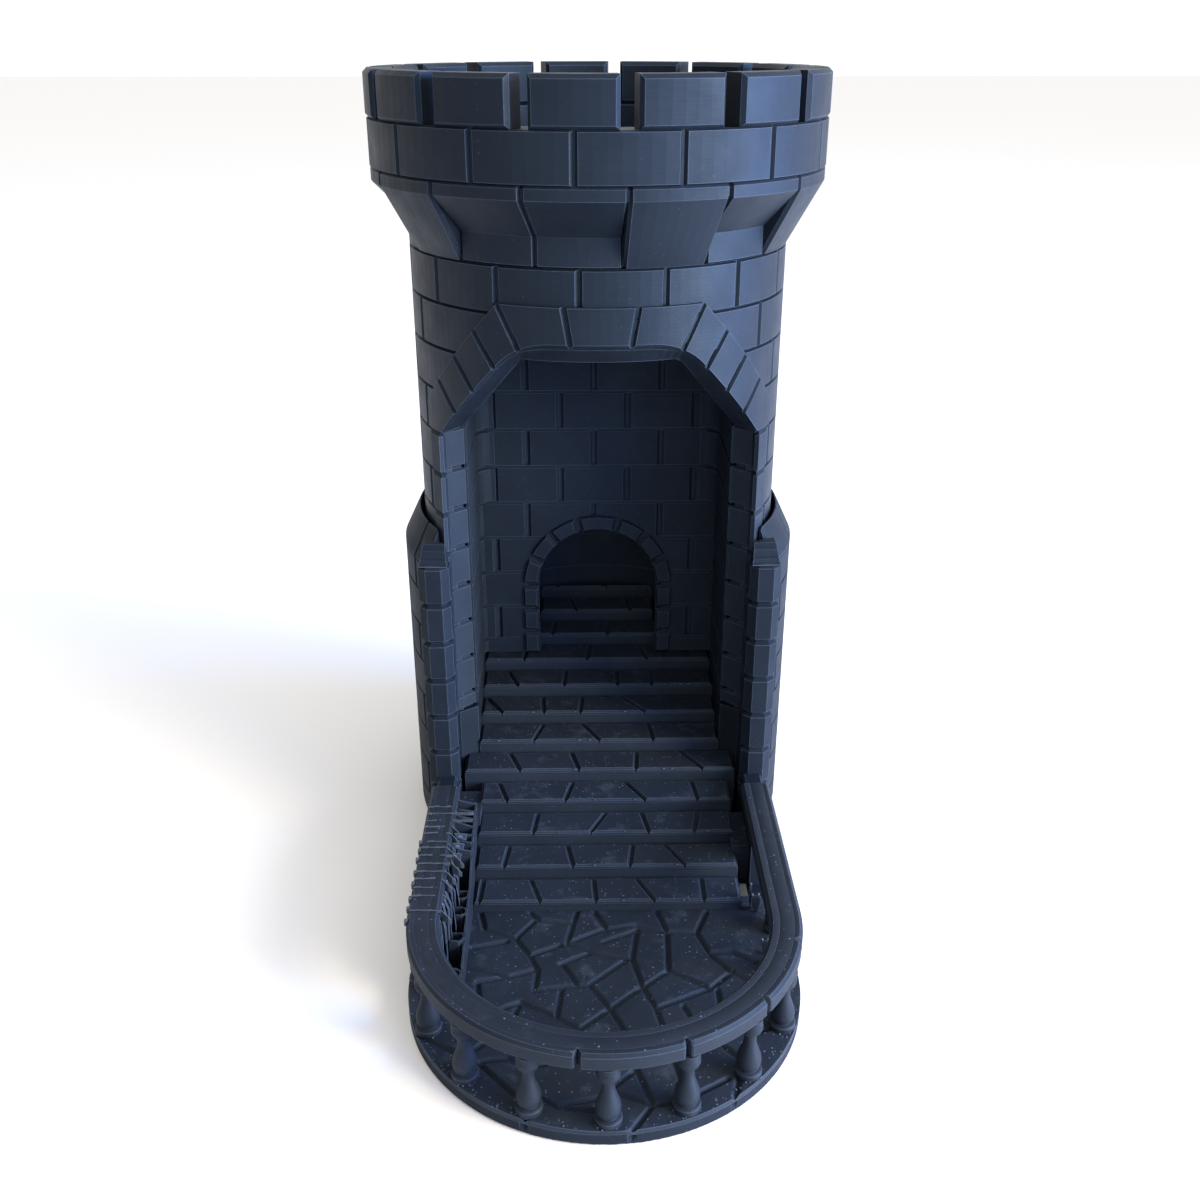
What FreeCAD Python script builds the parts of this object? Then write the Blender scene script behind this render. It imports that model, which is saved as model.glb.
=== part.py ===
"""Castle dice tower in two printed pieces: a base with stairs and balcony, and a tower that drops in.

Millimetres. The origin is on the tower's axis, at the underside of the base. +Z is up, the open front
of the tower faces -Y, and +X is to the right of someone who looks at that front.
A bearing is an angle in degrees round the tower's axis, from the front (-Y) towards +X.
"""
import FreeCAD, Part

import math
import os
import random

Vec = FreeCAD.Vector
ORIGIN = Vec(0, 0, 0)
UP = Vec(0, 0, 1)

# ---- driving dimensions: masonry -------------------------------------------------------------
course = 10.3                  # height of one row of bricks
bricks_round = 15              # bricks in one full turn
brick_pitch = 360.0 / bricks_round
joint_bearing = -6.0           # bearing of one upright joint of the even rows
joint_width = 1.5              # joint at the brick face
joint_root = 0.5               # joint at its bottom
joint_depth = 0.7
edge_chamfer = 0.9             # bevel round the free-standing blocks

# ---- driving dimensions: tower ---------------------------------------------------------------
tower_r = 45.0
tower_inner_r = 41.5
crown_r = 53.0
merlon_inner_r = 46.0
merlon_share = 0.83            # part of the pitch that a merlon fills
merlon_proud = 0.2
corbel_foot = 152.0            # where the corbels leave the tower wall
corbel_height = 17.4
corbel_lip = 3.0
corbel_set_back = 0.1          # the lip stays this far behind the ring course
shallow_drop = 8.0             # height of the slope of a shallow corbel
core_r = tower_r - joint_depth # inner wall behind the corbels

ring_foot = corbel_foot + corbel_height
ring_top = ring_foot + course
crown_top = ring_top + course

# ---- driving dimensions: front opening of the tower ------------------------------------------
opening_edge_x = 40.2          # where the tower wall stops, each side
quoin_face_x = 37.6
reveal_x = 36.7
jamb_x = 32.7                  # narrowest half width
jamb_y = -18.5
reveal_y = -22.0
quoin_proud = 0.6              # how far quoins and arch stones stand out of the wall
quoin_back_y = -12.0
first_tower_row = 1            # odd, so the lowest row starts with the shifted joints
arch_spring = corbel_foot - 4 * course
arch_band = 8.2                # height of the arch stones
arch_soffit = 131.4
arch_edge_top = 136.0           # lower edge of the arch stones at their face
arch_flat = 18.2               # half length of the flat top, along the curved wall
arch_arm_stones = 4
arch_key_half = 7.3            # half length of the keystone
arch_pieces = 6                # straight pieces that make one arm of the arch on the curved wall
arch_outer_flat = 23.3         # half length of the flat top at the upper edge of the stones
arch_outer_top = arch_edge_top + arch_band

# ---- driving dimensions: alcove inside -------------------------------------------------------
alcove_x = 32.2
alcove_wall = 3.3
back_wall_y = 12.0
back_wall = 3.0
alcove_top = 134.3
panel_brick = 18.0             # length of a brick of the back wall
panel_shift = (-1.0, -10.0)    # place of one joint in the even and in the odd rows
door_half = 16.4
door_spring = 55.6
door_band = 4.2
door_proud = 1.2
door_ends = (0.0, 24.5, 49.0, 73.5, 106.5, 131.0, 155.5, 180.0)   # joints of the round head, degrees
ramp_high = 170.0
ramp_low = 136.5
ramp_thickness = 2.2           # measured upright

# ---- driving dimensions: base ----------------------------------------------------------------
collar_r = 50.5
collar_inner_r = 46.2
plate = 3.0
floor = 3.9                    # top of the flagstones
balcony_r = 43.6
balcony_y = -90.0              # centre of the rounded end
rise = 3.33
tread = 9.44
first_riser_y = -66.9
steps = 13
stair_half = 33.5
stair_wide_half = 35.5
nosing = 0.9                   # height of the paving stones on the treads
riser_gap = 1.0                # between a paving stone and the next riser
smallest_stone = 8.0           # mm3; thinner chips of paving are left out
pillar_x = (36.5, 43.0)        # inner and outer side of a front pillar
pillar_front_y = -33.4
pillar_chamfer = 1.1           # bevel of its upright edges
pillar_far = 58.4              # bearing where a pillar meets the collar wall
wide_from_y = -38.2            # steps behind this line are as wide as the gap between the pillars
seat = floor + 9 * rise        # the tower stands here
seat_gap = 0.3
stair_well_r = 41.0            # the steps inside the tower end here
stair_gap = 0.2
tower_foot = seat + seat_gap
collar_top = 86.2
pillar_top = corbel_foot - 7 * course
coping_foot = 77.6
pillar_cap_height = 4.0
pillar_cap_r = 29.0            # the slope of the cap ends this far in front of the axis

# ---- driving dimensions: balcony rail --------------------------------------------------------
rail_r = 43.0
rail_inner_r = 35.9
rail_foot = 18.5
rail_top = 22.4
rail_end_y = -39.6
rail_bevel = 0.8
newel_set_in = 1.2             # the newel is this much smaller than the rail all round
under_collar_y = -20.0         # straight parts of the balcony run back to here, below the collar
baluster_line = 40.7            # balusters stand nearer the rim than the rail's middle
baluster_step = 22.5           # degrees round the end
baluster_foot_r = 2.7
baluster_foot_height = 1.5
baluster_cap_r = 2.2
baluster_turning = ((2.2, 1.9), (2.45, 4.0), (1.9, 6.4), (1.2, 9.4), (1.35, 11.3))   # bulb and neck (r, z)
curb_end_y = -57.0
curb_set_in = 0.8
stone_edge_r = balcony_r - 1.2
balcony_gap = (33.9, -61.5, 36.7, -51.5)   # open slot beside the lowest steps, right side

# ---- sizes of the cutting shapes, beyond every wall ------------------------------------------
far_out = 60.0
far_up = 200.0
over = 1.0


# ---- small makers ----------------------------------------------------------------------------
def at(radius, bearing, height=0.0):
    angle = math.radians(bearing)
    return Vec(radius * math.sin(angle), -radius * math.cos(angle), height)


def face_of(points):
    return Part.Face(Part.makePolygon(list(points) + [points[0]]))


def plan(points, low, high):
    """Prism on a plan outline of (x, y) points."""
    return face_of([Vec(x, y, low) for x, y in points]).extrude(Vec(0, 0, high - low))


def front(points, near, far):
    """Prism on an outline of (x, z) points, from y = near to y = far."""
    return face_of([Vec(x, near, z) for x, z in points]).extrude(Vec(0, far - near, 0))


def side(points, left, right):
    """Prism on an outline of (y, z) points, from x = left to x = right."""
    return face_of([Vec(left, y, z) for y, z in points]).extrude(Vec(right - left, 0, 0))


def turned(profile, start=0.0, end=360.0):
    """Solid of revolution about the tower's axis of an (r, z) profile between two bearings."""
    return face_of([at(r, start, z) for r, z in profile]).revolve(ORIGIN, UP, end - start)


def tube(inner, outer, low, high):
    return turned([(inner, low), (outer, low), (outer, high), (inner, high)])


def spun(shape, angle):
    copy = shape.copy()
    copy.rotate(ORIGIN, UP, angle)
    return copy


def mirrored(shape):
    return shape.mirror(ORIGIN, Vec(1, 0, 0))


def box(x0, y0, z0, x1, y1, z1):
    return Part.makeBox(x1 - x0, y1 - y0, z1 - z0, Vec(x0, y0, z0))


def save(name, shapes):
    solids = [solid for shape in shapes for solid in shape.Solids]
    joined = solids[0] if len(solids) == 1 else Part.makeCompound(solids)
    if not all(solid.isValid() for solid in solids):
        raise ValueError(name + " is not a valid solid")
    joined.exportStep("parts/" + name + ".step")


# ---- masonry ---------------------------------------------------------------------------------
def grooved_profile(inner, outer, rows):
    """Profile of a wall whose face has a groove at each row line."""
    points = [(inner, rows[0]), (outer, rows[0])]
    for z in rows[1:-1]:
        points += [(outer, z - joint_width / 2), (outer - joint_depth, z - joint_root / 2)]
        points += [(outer - joint_depth, z + joint_root / 2), (outer, z + joint_width / 2)]
    return points + [(outer, rows[-1]), (inner, rows[-1])]


def upright_joint(outer, bearing, low, high):
    half, root = joint_width / 2, joint_root / 2
    y = -outer
    outline = [(-half, y), (-half, y - over), (half, y - over), (half, y), (root, y + joint_depth),
               (-root, y + joint_depth)]
    return spun(plan(outline, low, high), bearing)


def row_bearings(row):
    """Bearings of the upright joints of a row; odd rows are shifted by half a brick."""
    shift = joint_bearing + (brick_pitch / 2 if row % 2 else 0.0)
    return [shift + brick_pitch * i for i in range(bricks_round)]


def ring_wall(inner, outer, rows, first_row):
    wall = turned(grooved_profile(inner, outer, rows))
    cutters = []
    for i, (low, high) in enumerate(zip(rows, rows[1:])):
        cutters += [upright_joint(outer, bearing, low, high) for bearing in row_bearings(first_row + i)]
    return wall.cut(cutters)


def block(inner, outer, low, high, start, end, chamfer=edge_chamfer):
    """Curved block with bevelled outer edges all round."""
    profile = [(inner, low), (outer - chamfer, low), (outer, low + chamfer), (outer, high - chamfer),
               (outer - chamfer, high), (inner, high)]
    solid = turned(profile, start, end)
    turn = math.degrees(chamfer / outer)
    for edge, inward in ((start, turn), (end, -turn)):
        a, b, c = at(outer - chamfer, edge), at(outer, edge + inward), at(outer + chamfer, edge - inward)
        solid = solid.cut(plan([(p.x, p.y) for p in (a, b, c)], low, high))
    return solid


def row_lines(low, high):
    """Heights of the row lines between two heights, with both ends. All rows count from the corbels."""
    count = int(corbel_foot / course) + 1
    lines = [corbel_foot - course * i for i in range(count)]
    return [low] + sorted(z for z in lines if low + over < z < high - over) + [high]


# ---- tower: wall, corner stones and arch -----------------------------------------------------
def wrapped(distance):
    """Half width on the front view of a length measured round the tower's face."""
    return tower_r * math.sin(distance / tower_r)


def arch_outline(flat, top, edge, low):
    """Front view of the arch head: flat top, arms at 45 degrees on the curved wall, upright edges."""
    run = tower_r * math.asin(edge / tower_r) - flat
    half = [(wrapped(flat + run * i / arch_pieces), top - run * i / arch_pieces) for i in range(arch_pieces)]
    half += [(edge, top - run), (edge, low)]
    return [(-x, z) for x, z in reversed(half)] + half


def outer_outline(low):
    return arch_outline(arch_outer_flat, arch_outer_top, opening_edge_x, low)


def tower_wall():
    rows = row_lines(tower_foot, corbel_foot)
    wall = ring_wall(tower_inner_r, tower_r, rows, first_tower_row)
    return wall.cut(front(outer_outline(tower_foot - over), -far_out, 0))


def slot(start, end):
    """Thin cut through the wall along a joint line between two (distance round the face, z) points."""
    (x0, z0), (x1, z1) = [(wrapped(s), z) for s, z in (start, end)]
    length = math.hypot(x1 - x0, z1 - z0)
    nx, nz = (z1 - z0) / length * joint_root / 2, (x0 - x1) / length * joint_root / 2
    outline = [(x0 - nx, z0 - nz), (x1 - nx, z1 - nz), (x1 + nx, z1 + nz), (x0 + nx, z0 + nz)]
    return front(outline, -far_out, 0)


def arch_joints():
    """Joint lines of the right half of the arch, from the keystone down the arm."""
    key_taper = 0.6
    key_foot = (arch_key_half - 2 * key_taper, arch_soffit - over)
    key_head = (arch_key_half + key_taper, arch_outer_top + over)
    slope = arch_outer_flat - arch_flat
    mitre_foot = (arch_flat - slope / 2, arch_edge_top - arch_band / 2)
    mitre_head = (arch_outer_flat + slope, arch_outer_top + arch_band)
    joints = [(key_foot, key_head), (mitre_foot, mitre_head)]
    run = tower_r * math.asin(opening_edge_x / tower_r) - arch_outer_flat
    for i in range(1, arch_arm_stones):
        s, z = arch_outer_flat + run * i / arch_arm_stones, arch_outer_top - run * i / arch_arm_stones
        joints.append(((s - arch_band, z - arch_band), (s + over, z + over)))
    return joints


def reveal_cutter():
    """Wedge that bevels the right arm and half of the flat top from the face into the opening."""
    run = tower_r * math.asin(reveal_x / tower_r) - arch_flat
    stations = [(0.0, 0.0, 0.0), (arch_flat, 0.0, 0.6), (arch_flat + run / 2, run / 2, 3.0),
                (arch_flat + run, run, 3.4)]
    outer, inner = tower_r + 2 * over, tower_inner_r - over
    depth = arch_edge_top - arch_soffit
    wires = []
    for distance, drop, inward in stations:
        z = arch_edge_top - drop
        turn = math.degrees(distance / tower_r)
        inner_turn = math.degrees((distance - inward) / tower_r)
        edge, back = at(outer, turn, z + 1.5), at(inner, inner_turn, z - depth - 0.8)
        below = at(outer, inner_turn, z - 2 * depth)
        wires.append(Part.makePolygon([edge, back, below, edge]))
    return Part.makeLoft(wires, True, True)


def arch_stones():
    outer = front(outer_outline(arch_spring), -far_out, 0)
    hole = front(arch_outline(arch_flat, arch_soffit, jamb_x, arch_spring - over), -far_out, 0)
    band = tube(tower_inner_r, tower_r + quoin_proud, arch_spring, arch_outer_top).common(outer.cut(hole))
    joints = [slot(start, end) for start, end in arch_joints()]
    bevel = reveal_cutter()
    return band.cut(joints + [mirrored(joint) for joint in joints] + [bevel, mirrored(bevel)])


def quoin_column():
    """Corner stones of the right side of the opening, from the foot of the tower to the arch."""
    face_r = tower_r + quoin_proud
    corner_y = -math.sqrt(face_r ** 2 - opening_edge_x ** 2)
    near_y = -math.sqrt(face_r ** 2 - quoin_face_x ** 2)
    middle = math.degrees((math.atan2(opening_edge_x, -corner_y) + math.atan2(quoin_face_x, -near_y)) / 2)
    bend = at(face_r, middle)
    outline = [(opening_edge_x, quoin_back_y), (opening_edge_x, corner_y), (bend.x, bend.y),
               (quoin_face_x, near_y), (reveal_x, reveal_y), (jamb_x, jamb_y), (jamb_x, quoin_back_y)]
    rows = row_lines(tower_foot, arch_spring)
    stones = []
    for low, high in zip(rows, rows[1:]):
        bevels = []
        for z, end in ((low, low + joint_width / 2), (high, high - joint_width / 2)):
            section = [(face_r - joint_depth, z), (face_r + over, z), (face_r + over, end), (face_r, end)]
            bevels.append(turned(section, 0, 90))
        stones.append(plan(outline, low, high).cut(bevels))
    return stones


# ---- tower: alcove and drop shaft ------------------------------------------------------------
def alcove_side():
    """Right side wall of the alcove, with its rows of bricks."""
    rows = row_lines(tower_foot, arch_spring)
    points = [(alcove_x + alcove_wall, rows[0]), (alcove_x + alcove_wall, rows[-1]), (alcove_x, rows[-1])]
    for z in reversed(rows[1:-1]):
        points += [(alcove_x, z + joint_width / 2), (alcove_x + joint_depth, z + joint_root / 2)]
        points += [(alcove_x + joint_depth, z - joint_root / 2), (alcove_x, z - joint_width / 2)]
    points.append((alcove_x, rows[0]))
    return front(points, quoin_back_y, back_wall_y)


def alcove_vault():
    """Ceiling of the alcove: flat in the middle, with two slopes down to the side walls."""
    low, outer_x = arch_spring, alcove_x + alcove_wall
    flat_x = wrapped(arch_flat) - 0.6
    shoulder, outer_flat_x = low + alcove_wall / 2, flat_x + alcove_wall / 2
    half = [(flat_x, arch_soffit), (alcove_x, low), (outer_x, low), (outer_x, shoulder),
            (outer_flat_x, alcove_top)]
    outline = half + [(-x, z) for x, z in reversed(half)]
    return front(outline, -far_out, back_wall_y).common(tube(0, tower_inner_r, low, alcove_top))


def arc(radius, start, end, pieces):
    """Points of the door's round head between two angles."""
    angles = [math.radians(start + (end - start) * i / pieces) for i in range(pieces + 1)]
    return [(radius * math.cos(a), door_spring + radius * math.sin(a)) for a in angles]


def back_wall_panel():
    """Wall behind the stairs, with rows of bricks and the doorway."""
    chord = math.sqrt(tower_inner_r ** 2 - (back_wall_y + back_wall) ** 2)
    panel = box(-chord, back_wall_y, tower_foot, chord, back_wall_y + back_wall, alcove_top)
    rows = row_lines(tower_foot, arch_spring + 2 * course)
    half, root, y, deep = joint_width / 2, joint_root / 2, back_wall_y, back_wall_y + joint_depth
    cutters = []
    for z in rows[1:-1]:
        section = [(y, z - half), (deep, z - root), (deep, z + root), (y, z + half)]
        cutters.append(side(section, -alcove_x, alcove_x))
    for i, (low, high) in enumerate(zip(rows, rows[1:])):
        for n in range(-2, 3):
            x = panel_shift[i % 2] + panel_brick * n
            if abs(x) < alcove_x - joint_width:
                section = [(x - half, y), (x - root, deep), (x + root, deep), (x + half, y)]
                cutters.append(plan(section, low, high))
    door = [(door_half, tower_foot - over)] + arc(door_half, 0, 180, 24) + [(-door_half, tower_foot - over)]
    cutters.append(front(door, y - over, y + back_wall + over))
    return panel.cut(cutters)


def doorway_stones():
    """Raised stones round the doorway: three in each leg and seven in the round head."""
    outer, inner = door_half + door_band, door_half
    y0, y1 = back_wall_y - door_proud, back_wall_y
    stones = []
    leg = (door_spring - tower_foot) / 3
    for i in range(3):
        low = tower_foot + leg * i
        stone = box(inner, y0, low + joint_root / 2, outer, y1, low + leg - joint_root / 2)
        stones += [stone, mirrored(stone)]
    half_gap = math.degrees(joint_root / 2 / inner)
    for start, end in zip(door_ends, door_ends[1:]):
        rim = arc(outer, start + half_gap, end - half_gap, 4)
        hole = arc(inner, start + half_gap, end - half_gap, 4)
        stones.append(front(rim + hole[::-1], y0, y1))
    return stones


def hopper_ramp():
    """Sloping floor over the alcove: dice dropped in at the top roll to the shaft at the back."""
    end_y = back_wall_y + back_wall
    outline = [(-tower_r, ramp_high), (end_y, ramp_low), (end_y, ramp_low - ramp_thickness),
               (-tower_r, ramp_high - ramp_thickness)]
    return side(outline, -tower_r, tower_r).common(tube(0, tower_inner_r, 0, far_up))


# ---- tower: corbels, ring course and merlons -------------------------------------------------
def crown_wall():
    return tube(tower_inner_r, core_r, corbel_foot, ring_foot)


def corbel(number):
    """One corbel block. Even ones slope down to the foot of the course, the others end on a short wall."""
    start = joint_bearing + brick_pitch / 2 + brick_pitch * number
    gap = math.degrees(joint_root / crown_r)
    lip, lip_r = ring_foot - corbel_lip, crown_r - corbel_set_back
    profile = [(lip_r, lip), (lip_r, ring_foot - joint_depth), (lip_r - joint_depth, ring_foot),
               (core_r, ring_foot), (core_r, corbel_foot)]
    if number % 2 == 0 and number != bricks_round - 1:
        profile.append((tower_r, corbel_foot))
    else:
        profile += [(tower_r, corbel_foot + joint_depth), (tower_r, lip - shallow_drop)]
    return turned(profile, start + gap, start + brick_pitch - gap)


def ring_course():
    c = joint_depth
    ring = turned([(tower_inner_r, ring_foot), (crown_r - c, ring_foot), (crown_r, ring_foot + c),
                   (crown_r, ring_top - c), (crown_r - c, ring_top), (tower_inner_r, ring_top)])
    return ring.cut([upright_joint(crown_r, bearing, ring_foot, ring_top) for bearing in row_bearings(0)])


def merlon(number):
    half = brick_pitch * merlon_share / 2
    middle = joint_bearing + brick_pitch * number
    return block(merlon_inner_r, crown_r + merlon_proud, ring_top, crown_top, middle - half, middle + half)


# ---- base: plate, floor and stairs -----------------------------------------------------------
def tray_outline(radius, low, high):
    """Balcony shape: half round end, straight sides, running back under the collar."""
    end = Part.makeCylinder(radius, high - low, Vec(0, balcony_y, low))
    return end.fuse(box(-radius, balcony_y, low, radius, under_collar_y, high)).removeSplitter()


def base_plate():
    shape = tray_outline(balcony_r, 0, plate).fuse(Part.makeCylinder(collar_r, plate)).removeSplitter()
    x0, y0, x1, y1 = balcony_gap
    return shape.cut(box(x0, y0, -over, x1, y1, plate + over))


def cell(seeds, centre, bounds):
    """Polygon of the points nearer to one seed than to the others, inside a rectangle."""
    x0, y0, x1, y1 = bounds
    polygon = [(x0, y0), (x1, y0), (x1, y1), (x0, y1)]
    for other in seeds:
        if other == centre:
            continue
        mx, my = (centre[0] + other[0]) / 2, (centre[1] + other[1]) / 2
        nx, ny = other[0] - centre[0], other[1] - centre[1]
        length = math.hypot(nx, ny)
        limit = (mx * nx + my * ny) / length - joint_root / 2
        clipped = []
        for (ax, ay), (bx, by) in zip(polygon, polygon[1:] + polygon[:1]):
            da, db = (ax * nx + ay * ny) / length - limit, (bx * nx + by * ny) / length - limit
            if da <= 0:
                clipped.append((ax, ay))
            if da * db < 0:
                t = da / (da - db)
                clipped.append((ax + (bx - ax) * t, ay + (by - ay) * t))
        polygon = clipped
        if not polygon:
            break
    return polygon


def flagstones():
    """Irregular paving of the balcony, one solid a stone."""
    draw = random.Random(11)
    columns, rows, width, depth, scatter = 7, 6, 13.0, 12.0, 4.2
    seeds = []
    for column in range(columns):
        for row in range(rows):
            x = width * (column - (columns - 1) / 2) + draw.uniform(-scatter, scatter)
            y = balcony_y + depth * (row - rows / 2 + (column % 2) / 2) + draw.uniform(-scatter, scatter)
            seeds.append((round(x, 1), round(y, 1)))
    limits = tray_outline(stone_edge_r, plate, floor)
    bounds = (-balcony_r, balcony_y - balcony_r, balcony_r, first_riser_y - joint_root / 2)
    stones = []
    for seed in seeds:
        polygon = cell(seeds, seed, bounds)
        if len(polygon) > 2:
            stones.append(plan(polygon, plate, floor).common(limits))
    return [stone for stone in stones if stone.Volume > smallest_stone]


def step_half(number):
    """Half width of a step: wider between the pillars, narrower inside the tower."""
    y = first_riser_y + number * tread
    if y > reveal_y:
        return alcove_x - 0.1
    return stair_wide_half if y > wide_from_y else stair_half


def step_depth(number):
    return tread if number < steps - 1 else far_out


def fitted(shape):
    """Part of a stair shape that lies clear of the seat and the tower's wall."""
    well = Part.makeCylinder(stair_well_r - stair_gap, far_up)
    well = well.fuse(box(-far_out, 2 * first_riser_y, 0, far_out, jamb_y, far_up))
    return shape.common(well).cut(seat_ring())


def stairs():
    """Solid flight, its treads lower than the nosings by the height of the paving stones."""
    solids = []
    for number in range(steps):
        y0, half = first_riser_y + number * tread, step_half(number)
        top = floor + (number + 1) * rise - nosing
        solids.append(box(-half, y0, plate, half, y0 + step_depth(number), top))
    flight = solids[0].multiFuse(solids[1:]).removeSplitter()
    return fitted(flight)


def tread_stones():
    """Paving of the treads: long slabs with slanted joints, each a solid of its own."""
    draw = random.Random(5)
    slabs, scatter, shortest = 4, 3.2, 4.0
    gap = joint_width / 2
    stones = []
    for number in range(steps):
        half, y0 = step_half(number), first_riser_y + number * tread
        high = floor + (number + 1) * rise
        y1 = y0 + tread - riser_gap
        shift = (number % 2) / 2
        middles = [half * (2 * (n + shift) / slabs - 1) for n in range(1, slabs + number % 2)]
        cuts = [(x + draw.uniform(-scatter, scatter), draw.uniform(-scatter, scatter)) for x in middles]
        cuts = [cut for cut in cuts if abs(cut[0]) < half - shortest]
        ends = [(-half - gap, 0.0)] + cuts + [(half + gap, 0.0)]
        for (xa, slant_a), (xb, slant_b) in zip(ends, ends[1:]):
            outline = [(xa + gap, y0), (xb - gap, y0), (xb - gap + slant_b, y1), (xa + gap + slant_a, y1)]
            stones.append(fitted(plan(outline, high - nosing, high)))
    return [stone for stone in stones if stone.Volume > smallest_stone]


# ---- base: seat, collar and pillars ----------------------------------------------------------
def seat_ring():
    """Block under the tower. Its front ends are the plain cheeks under the corner stones."""
    ring = Part.makeCylinder(collar_inner_r, seat - plate, Vec(0, 0, plate))
    well = Part.makeCylinder(stair_well_r, far_up)
    middle = box(-alcove_x, -far_out, 0, alcove_x, far_out, far_up).common(well)
    corner = [(jamb_x - over, jamb_y), (reveal_x, reveal_y), (reveal_x, -far_out), (0, -far_out), (0, jamb_y)]
    splay = plan(corner, 0, far_up)
    front_cut = box(-far_out, -far_out, 0, far_out, reveal_y, far_up)
    return ring.cut([middle, splay, mirrored(splay), front_cut])


def collar_wall():
    """Rear wall of the base. It stops at the front pillars."""
    rows = row_lines(plate, coping_foot)
    wall = ring_wall(collar_inner_r, collar_r, rows, 0)
    return wall.cut(turned([(0, 0), (far_out, 0), (far_out, far_up), (0, far_up)], -pillar_far, pillar_far))


def coping():
    """Sloping top course of the collar."""
    profile = [(collar_inner_r, coping_foot), (collar_r, coping_foot), (collar_r, coping_foot + joint_depth),
               (collar_inner_r + joint_depth, collar_top), (collar_inner_r, collar_top)]
    ring = turned(profile, pillar_far, 360 - pillar_far)
    clear = pillar_far + 3.0
    bearings = [bearing for bearing in row_bearings(1) if clear < bearing % 360 < 360 - clear]
    return ring.cut([upright_joint(collar_r - joint_depth, bearing, coping_foot, collar_top)
                     for bearing in bearings])


def pillar():
    """Square stones of the right front pillar, with the sloping stone on top."""
    x0, x1, y = *pillar_x, pillar_front_y
    bend = pillar_chamfer
    outline = [(x0 + bend, y), (x1 - bend, y), (x1, y + bend), (x1, 0), (x0, 0), (x0, y + bend)]
    rows = row_lines(plate, pillar_top)
    beyond = turned([(0, 0), (far_out, 0), (far_out, far_up), (0, far_up)], pillar_far, 180)
    cuts = [Part.makeCylinder(collar_inner_r, far_up), beyond]
    for z in rows[1:]:
        cuts.append(side([(y - over, z - joint_width / 2), (y, z - joint_width / 2), (y + joint_depth, z),
                          (y, z + joint_width / 2), (y - over, z + joint_width / 2)], 0, far_out))
    stones = [plan(outline, low, high).cut(cuts) for low, high in zip(rows, rows[1:])]
    slope = [(y + joint_depth, pillar_top), (-pillar_cap_r, pillar_top + pillar_cap_height),
             (0, pillar_top + pillar_cap_height), (0, pillar_top)]
    stones.append(side(slope, x0 + joint_depth, x1 - joint_depth).cut(cuts[:2]))
    return stones


# ---- base: balcony rail ----------------------------------------------------------------------
def rail():
    """Bevelled rail: round the end and along both sides."""
    b, b_low = rail_bevel, rail_bevel / 2
    section = [(rail_inner_r, rail_foot + b_low), (rail_inner_r + b_low, rail_foot),
               (rail_r - b_low, rail_foot), (rail_r, rail_foot + b_low),
               (rail_r, rail_top - b), (rail_r - b, rail_top),
               (rail_inner_r + b, rail_top), (rail_inner_r, rail_top - b)]
    end = turned(section, -90, 90)
    end.translate(Vec(0, balcony_y, 0))
    arm = front(section, balcony_y, rail_end_y)
    return end.fuse([arm, mirrored(arm)]).removeSplitter()


def baluster():
    """Turned baluster: base ring, bulb, neck and flared cap."""
    height = rail_foot - floor
    turning = [Vec(r, 0, z) for r, z in baluster_turning] + [Vec(baluster_cap_r, 0, height - joint_depth)]
    curve = Part.BSplineCurve()
    curve.interpolate(turning)
    foot_r = baluster_foot_r
    foot = [Vec(0, 0, 0), Vec(foot_r, 0, 0), Vec(foot_r, 0, baluster_foot_height), turning[0]]
    cap = [turning[-1], Vec(baluster_cap_r, 0, height), Vec(0, 0, height), Vec(0, 0, 0)]
    wire = Part.Wire(Part.makePolygon(foot).Edges + [curve.toShape()] + Part.makePolygon(cap).Edges)
    solid = Part.Face(wire).revolve(ORIGIN, UP, 360)
    solid.translate(Vec(0, 0, floor))
    return solid


def baluster_places():
    places = []
    side_steps = int(90 / baluster_step)
    for i in range(-side_steps, side_steps + 1):
        spot = at(baluster_line, baluster_step * i)
        places.append(Vec(spot.x, spot.y + balcony_y, 0))
    spacing = baluster_line * math.radians(baluster_step)
    y = balcony_y + spacing
    while y < curb_end_y - baluster_foot_r:
        places += [Vec(-baluster_line, y, 0), Vec(baluster_line, y, 0)]
        y += spacing
    return places


def balusters():
    shapes = []
    for place in baluster_places():
        copy = baluster()
        copy.translate(place)
        shapes.append(copy)
    return shapes


def curb_wall():
    """Solid wall under the right rail beside the upper steps, up to the pillar."""
    inner_x = rail_inner_r + curb_set_in
    return box(inner_x, curb_end_y, plate, rail_r - curb_set_in, pillar_front_y, rail_foot)


def newel():
    """Small block between the right pillar's foot and the rail."""
    return box(rail_inner_r + newel_set_in, rail_end_y, rail_foot, rail_r - newel_set_in, pillar_front_y,
               rail_top - newel_set_in)


os.makedirs("parts", exist_ok=True)
save("base_plate", [base_plate()])
save("flagstones", flagstones())
save("stair_flight", [stairs()])
save("stair_treads", tread_stones())
save("tower_seat", [seat_ring()])
save("collar_wall", [collar_wall()])
save("collar_coping", [coping()])
save("right_pillar", pillar())
save("left_pillar", [mirrored(stone) for stone in pillar()])
save("balcony_rail", [rail()])
save("balusters", balusters())
save("right_curb_wall", [curb_wall()])
save("left_curb_wall", [mirrored(curb_wall())])
save("right_newel", [newel()])
save("left_newel", [mirrored(newel())])
save("tower_wall", [tower_wall()])
save("arch_stones", [arch_stones()])
save("right_quoins", quoin_column())
save("left_quoins", [mirrored(stone) for stone in quoin_column()])
save("right_alcove_wall", [alcove_side()])
save("left_alcove_wall", [mirrored(alcove_side())])
save("alcove_vault", [alcove_vault()])
save("alcove_back_wall", [back_wall_panel()])
save("doorway_stones", doorway_stones())
save("hopper_ramp", [hopper_ramp()])
save("crown_wall", [crown_wall()])
save("corbels", [corbel(number) for number in range(bricks_round)])
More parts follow.
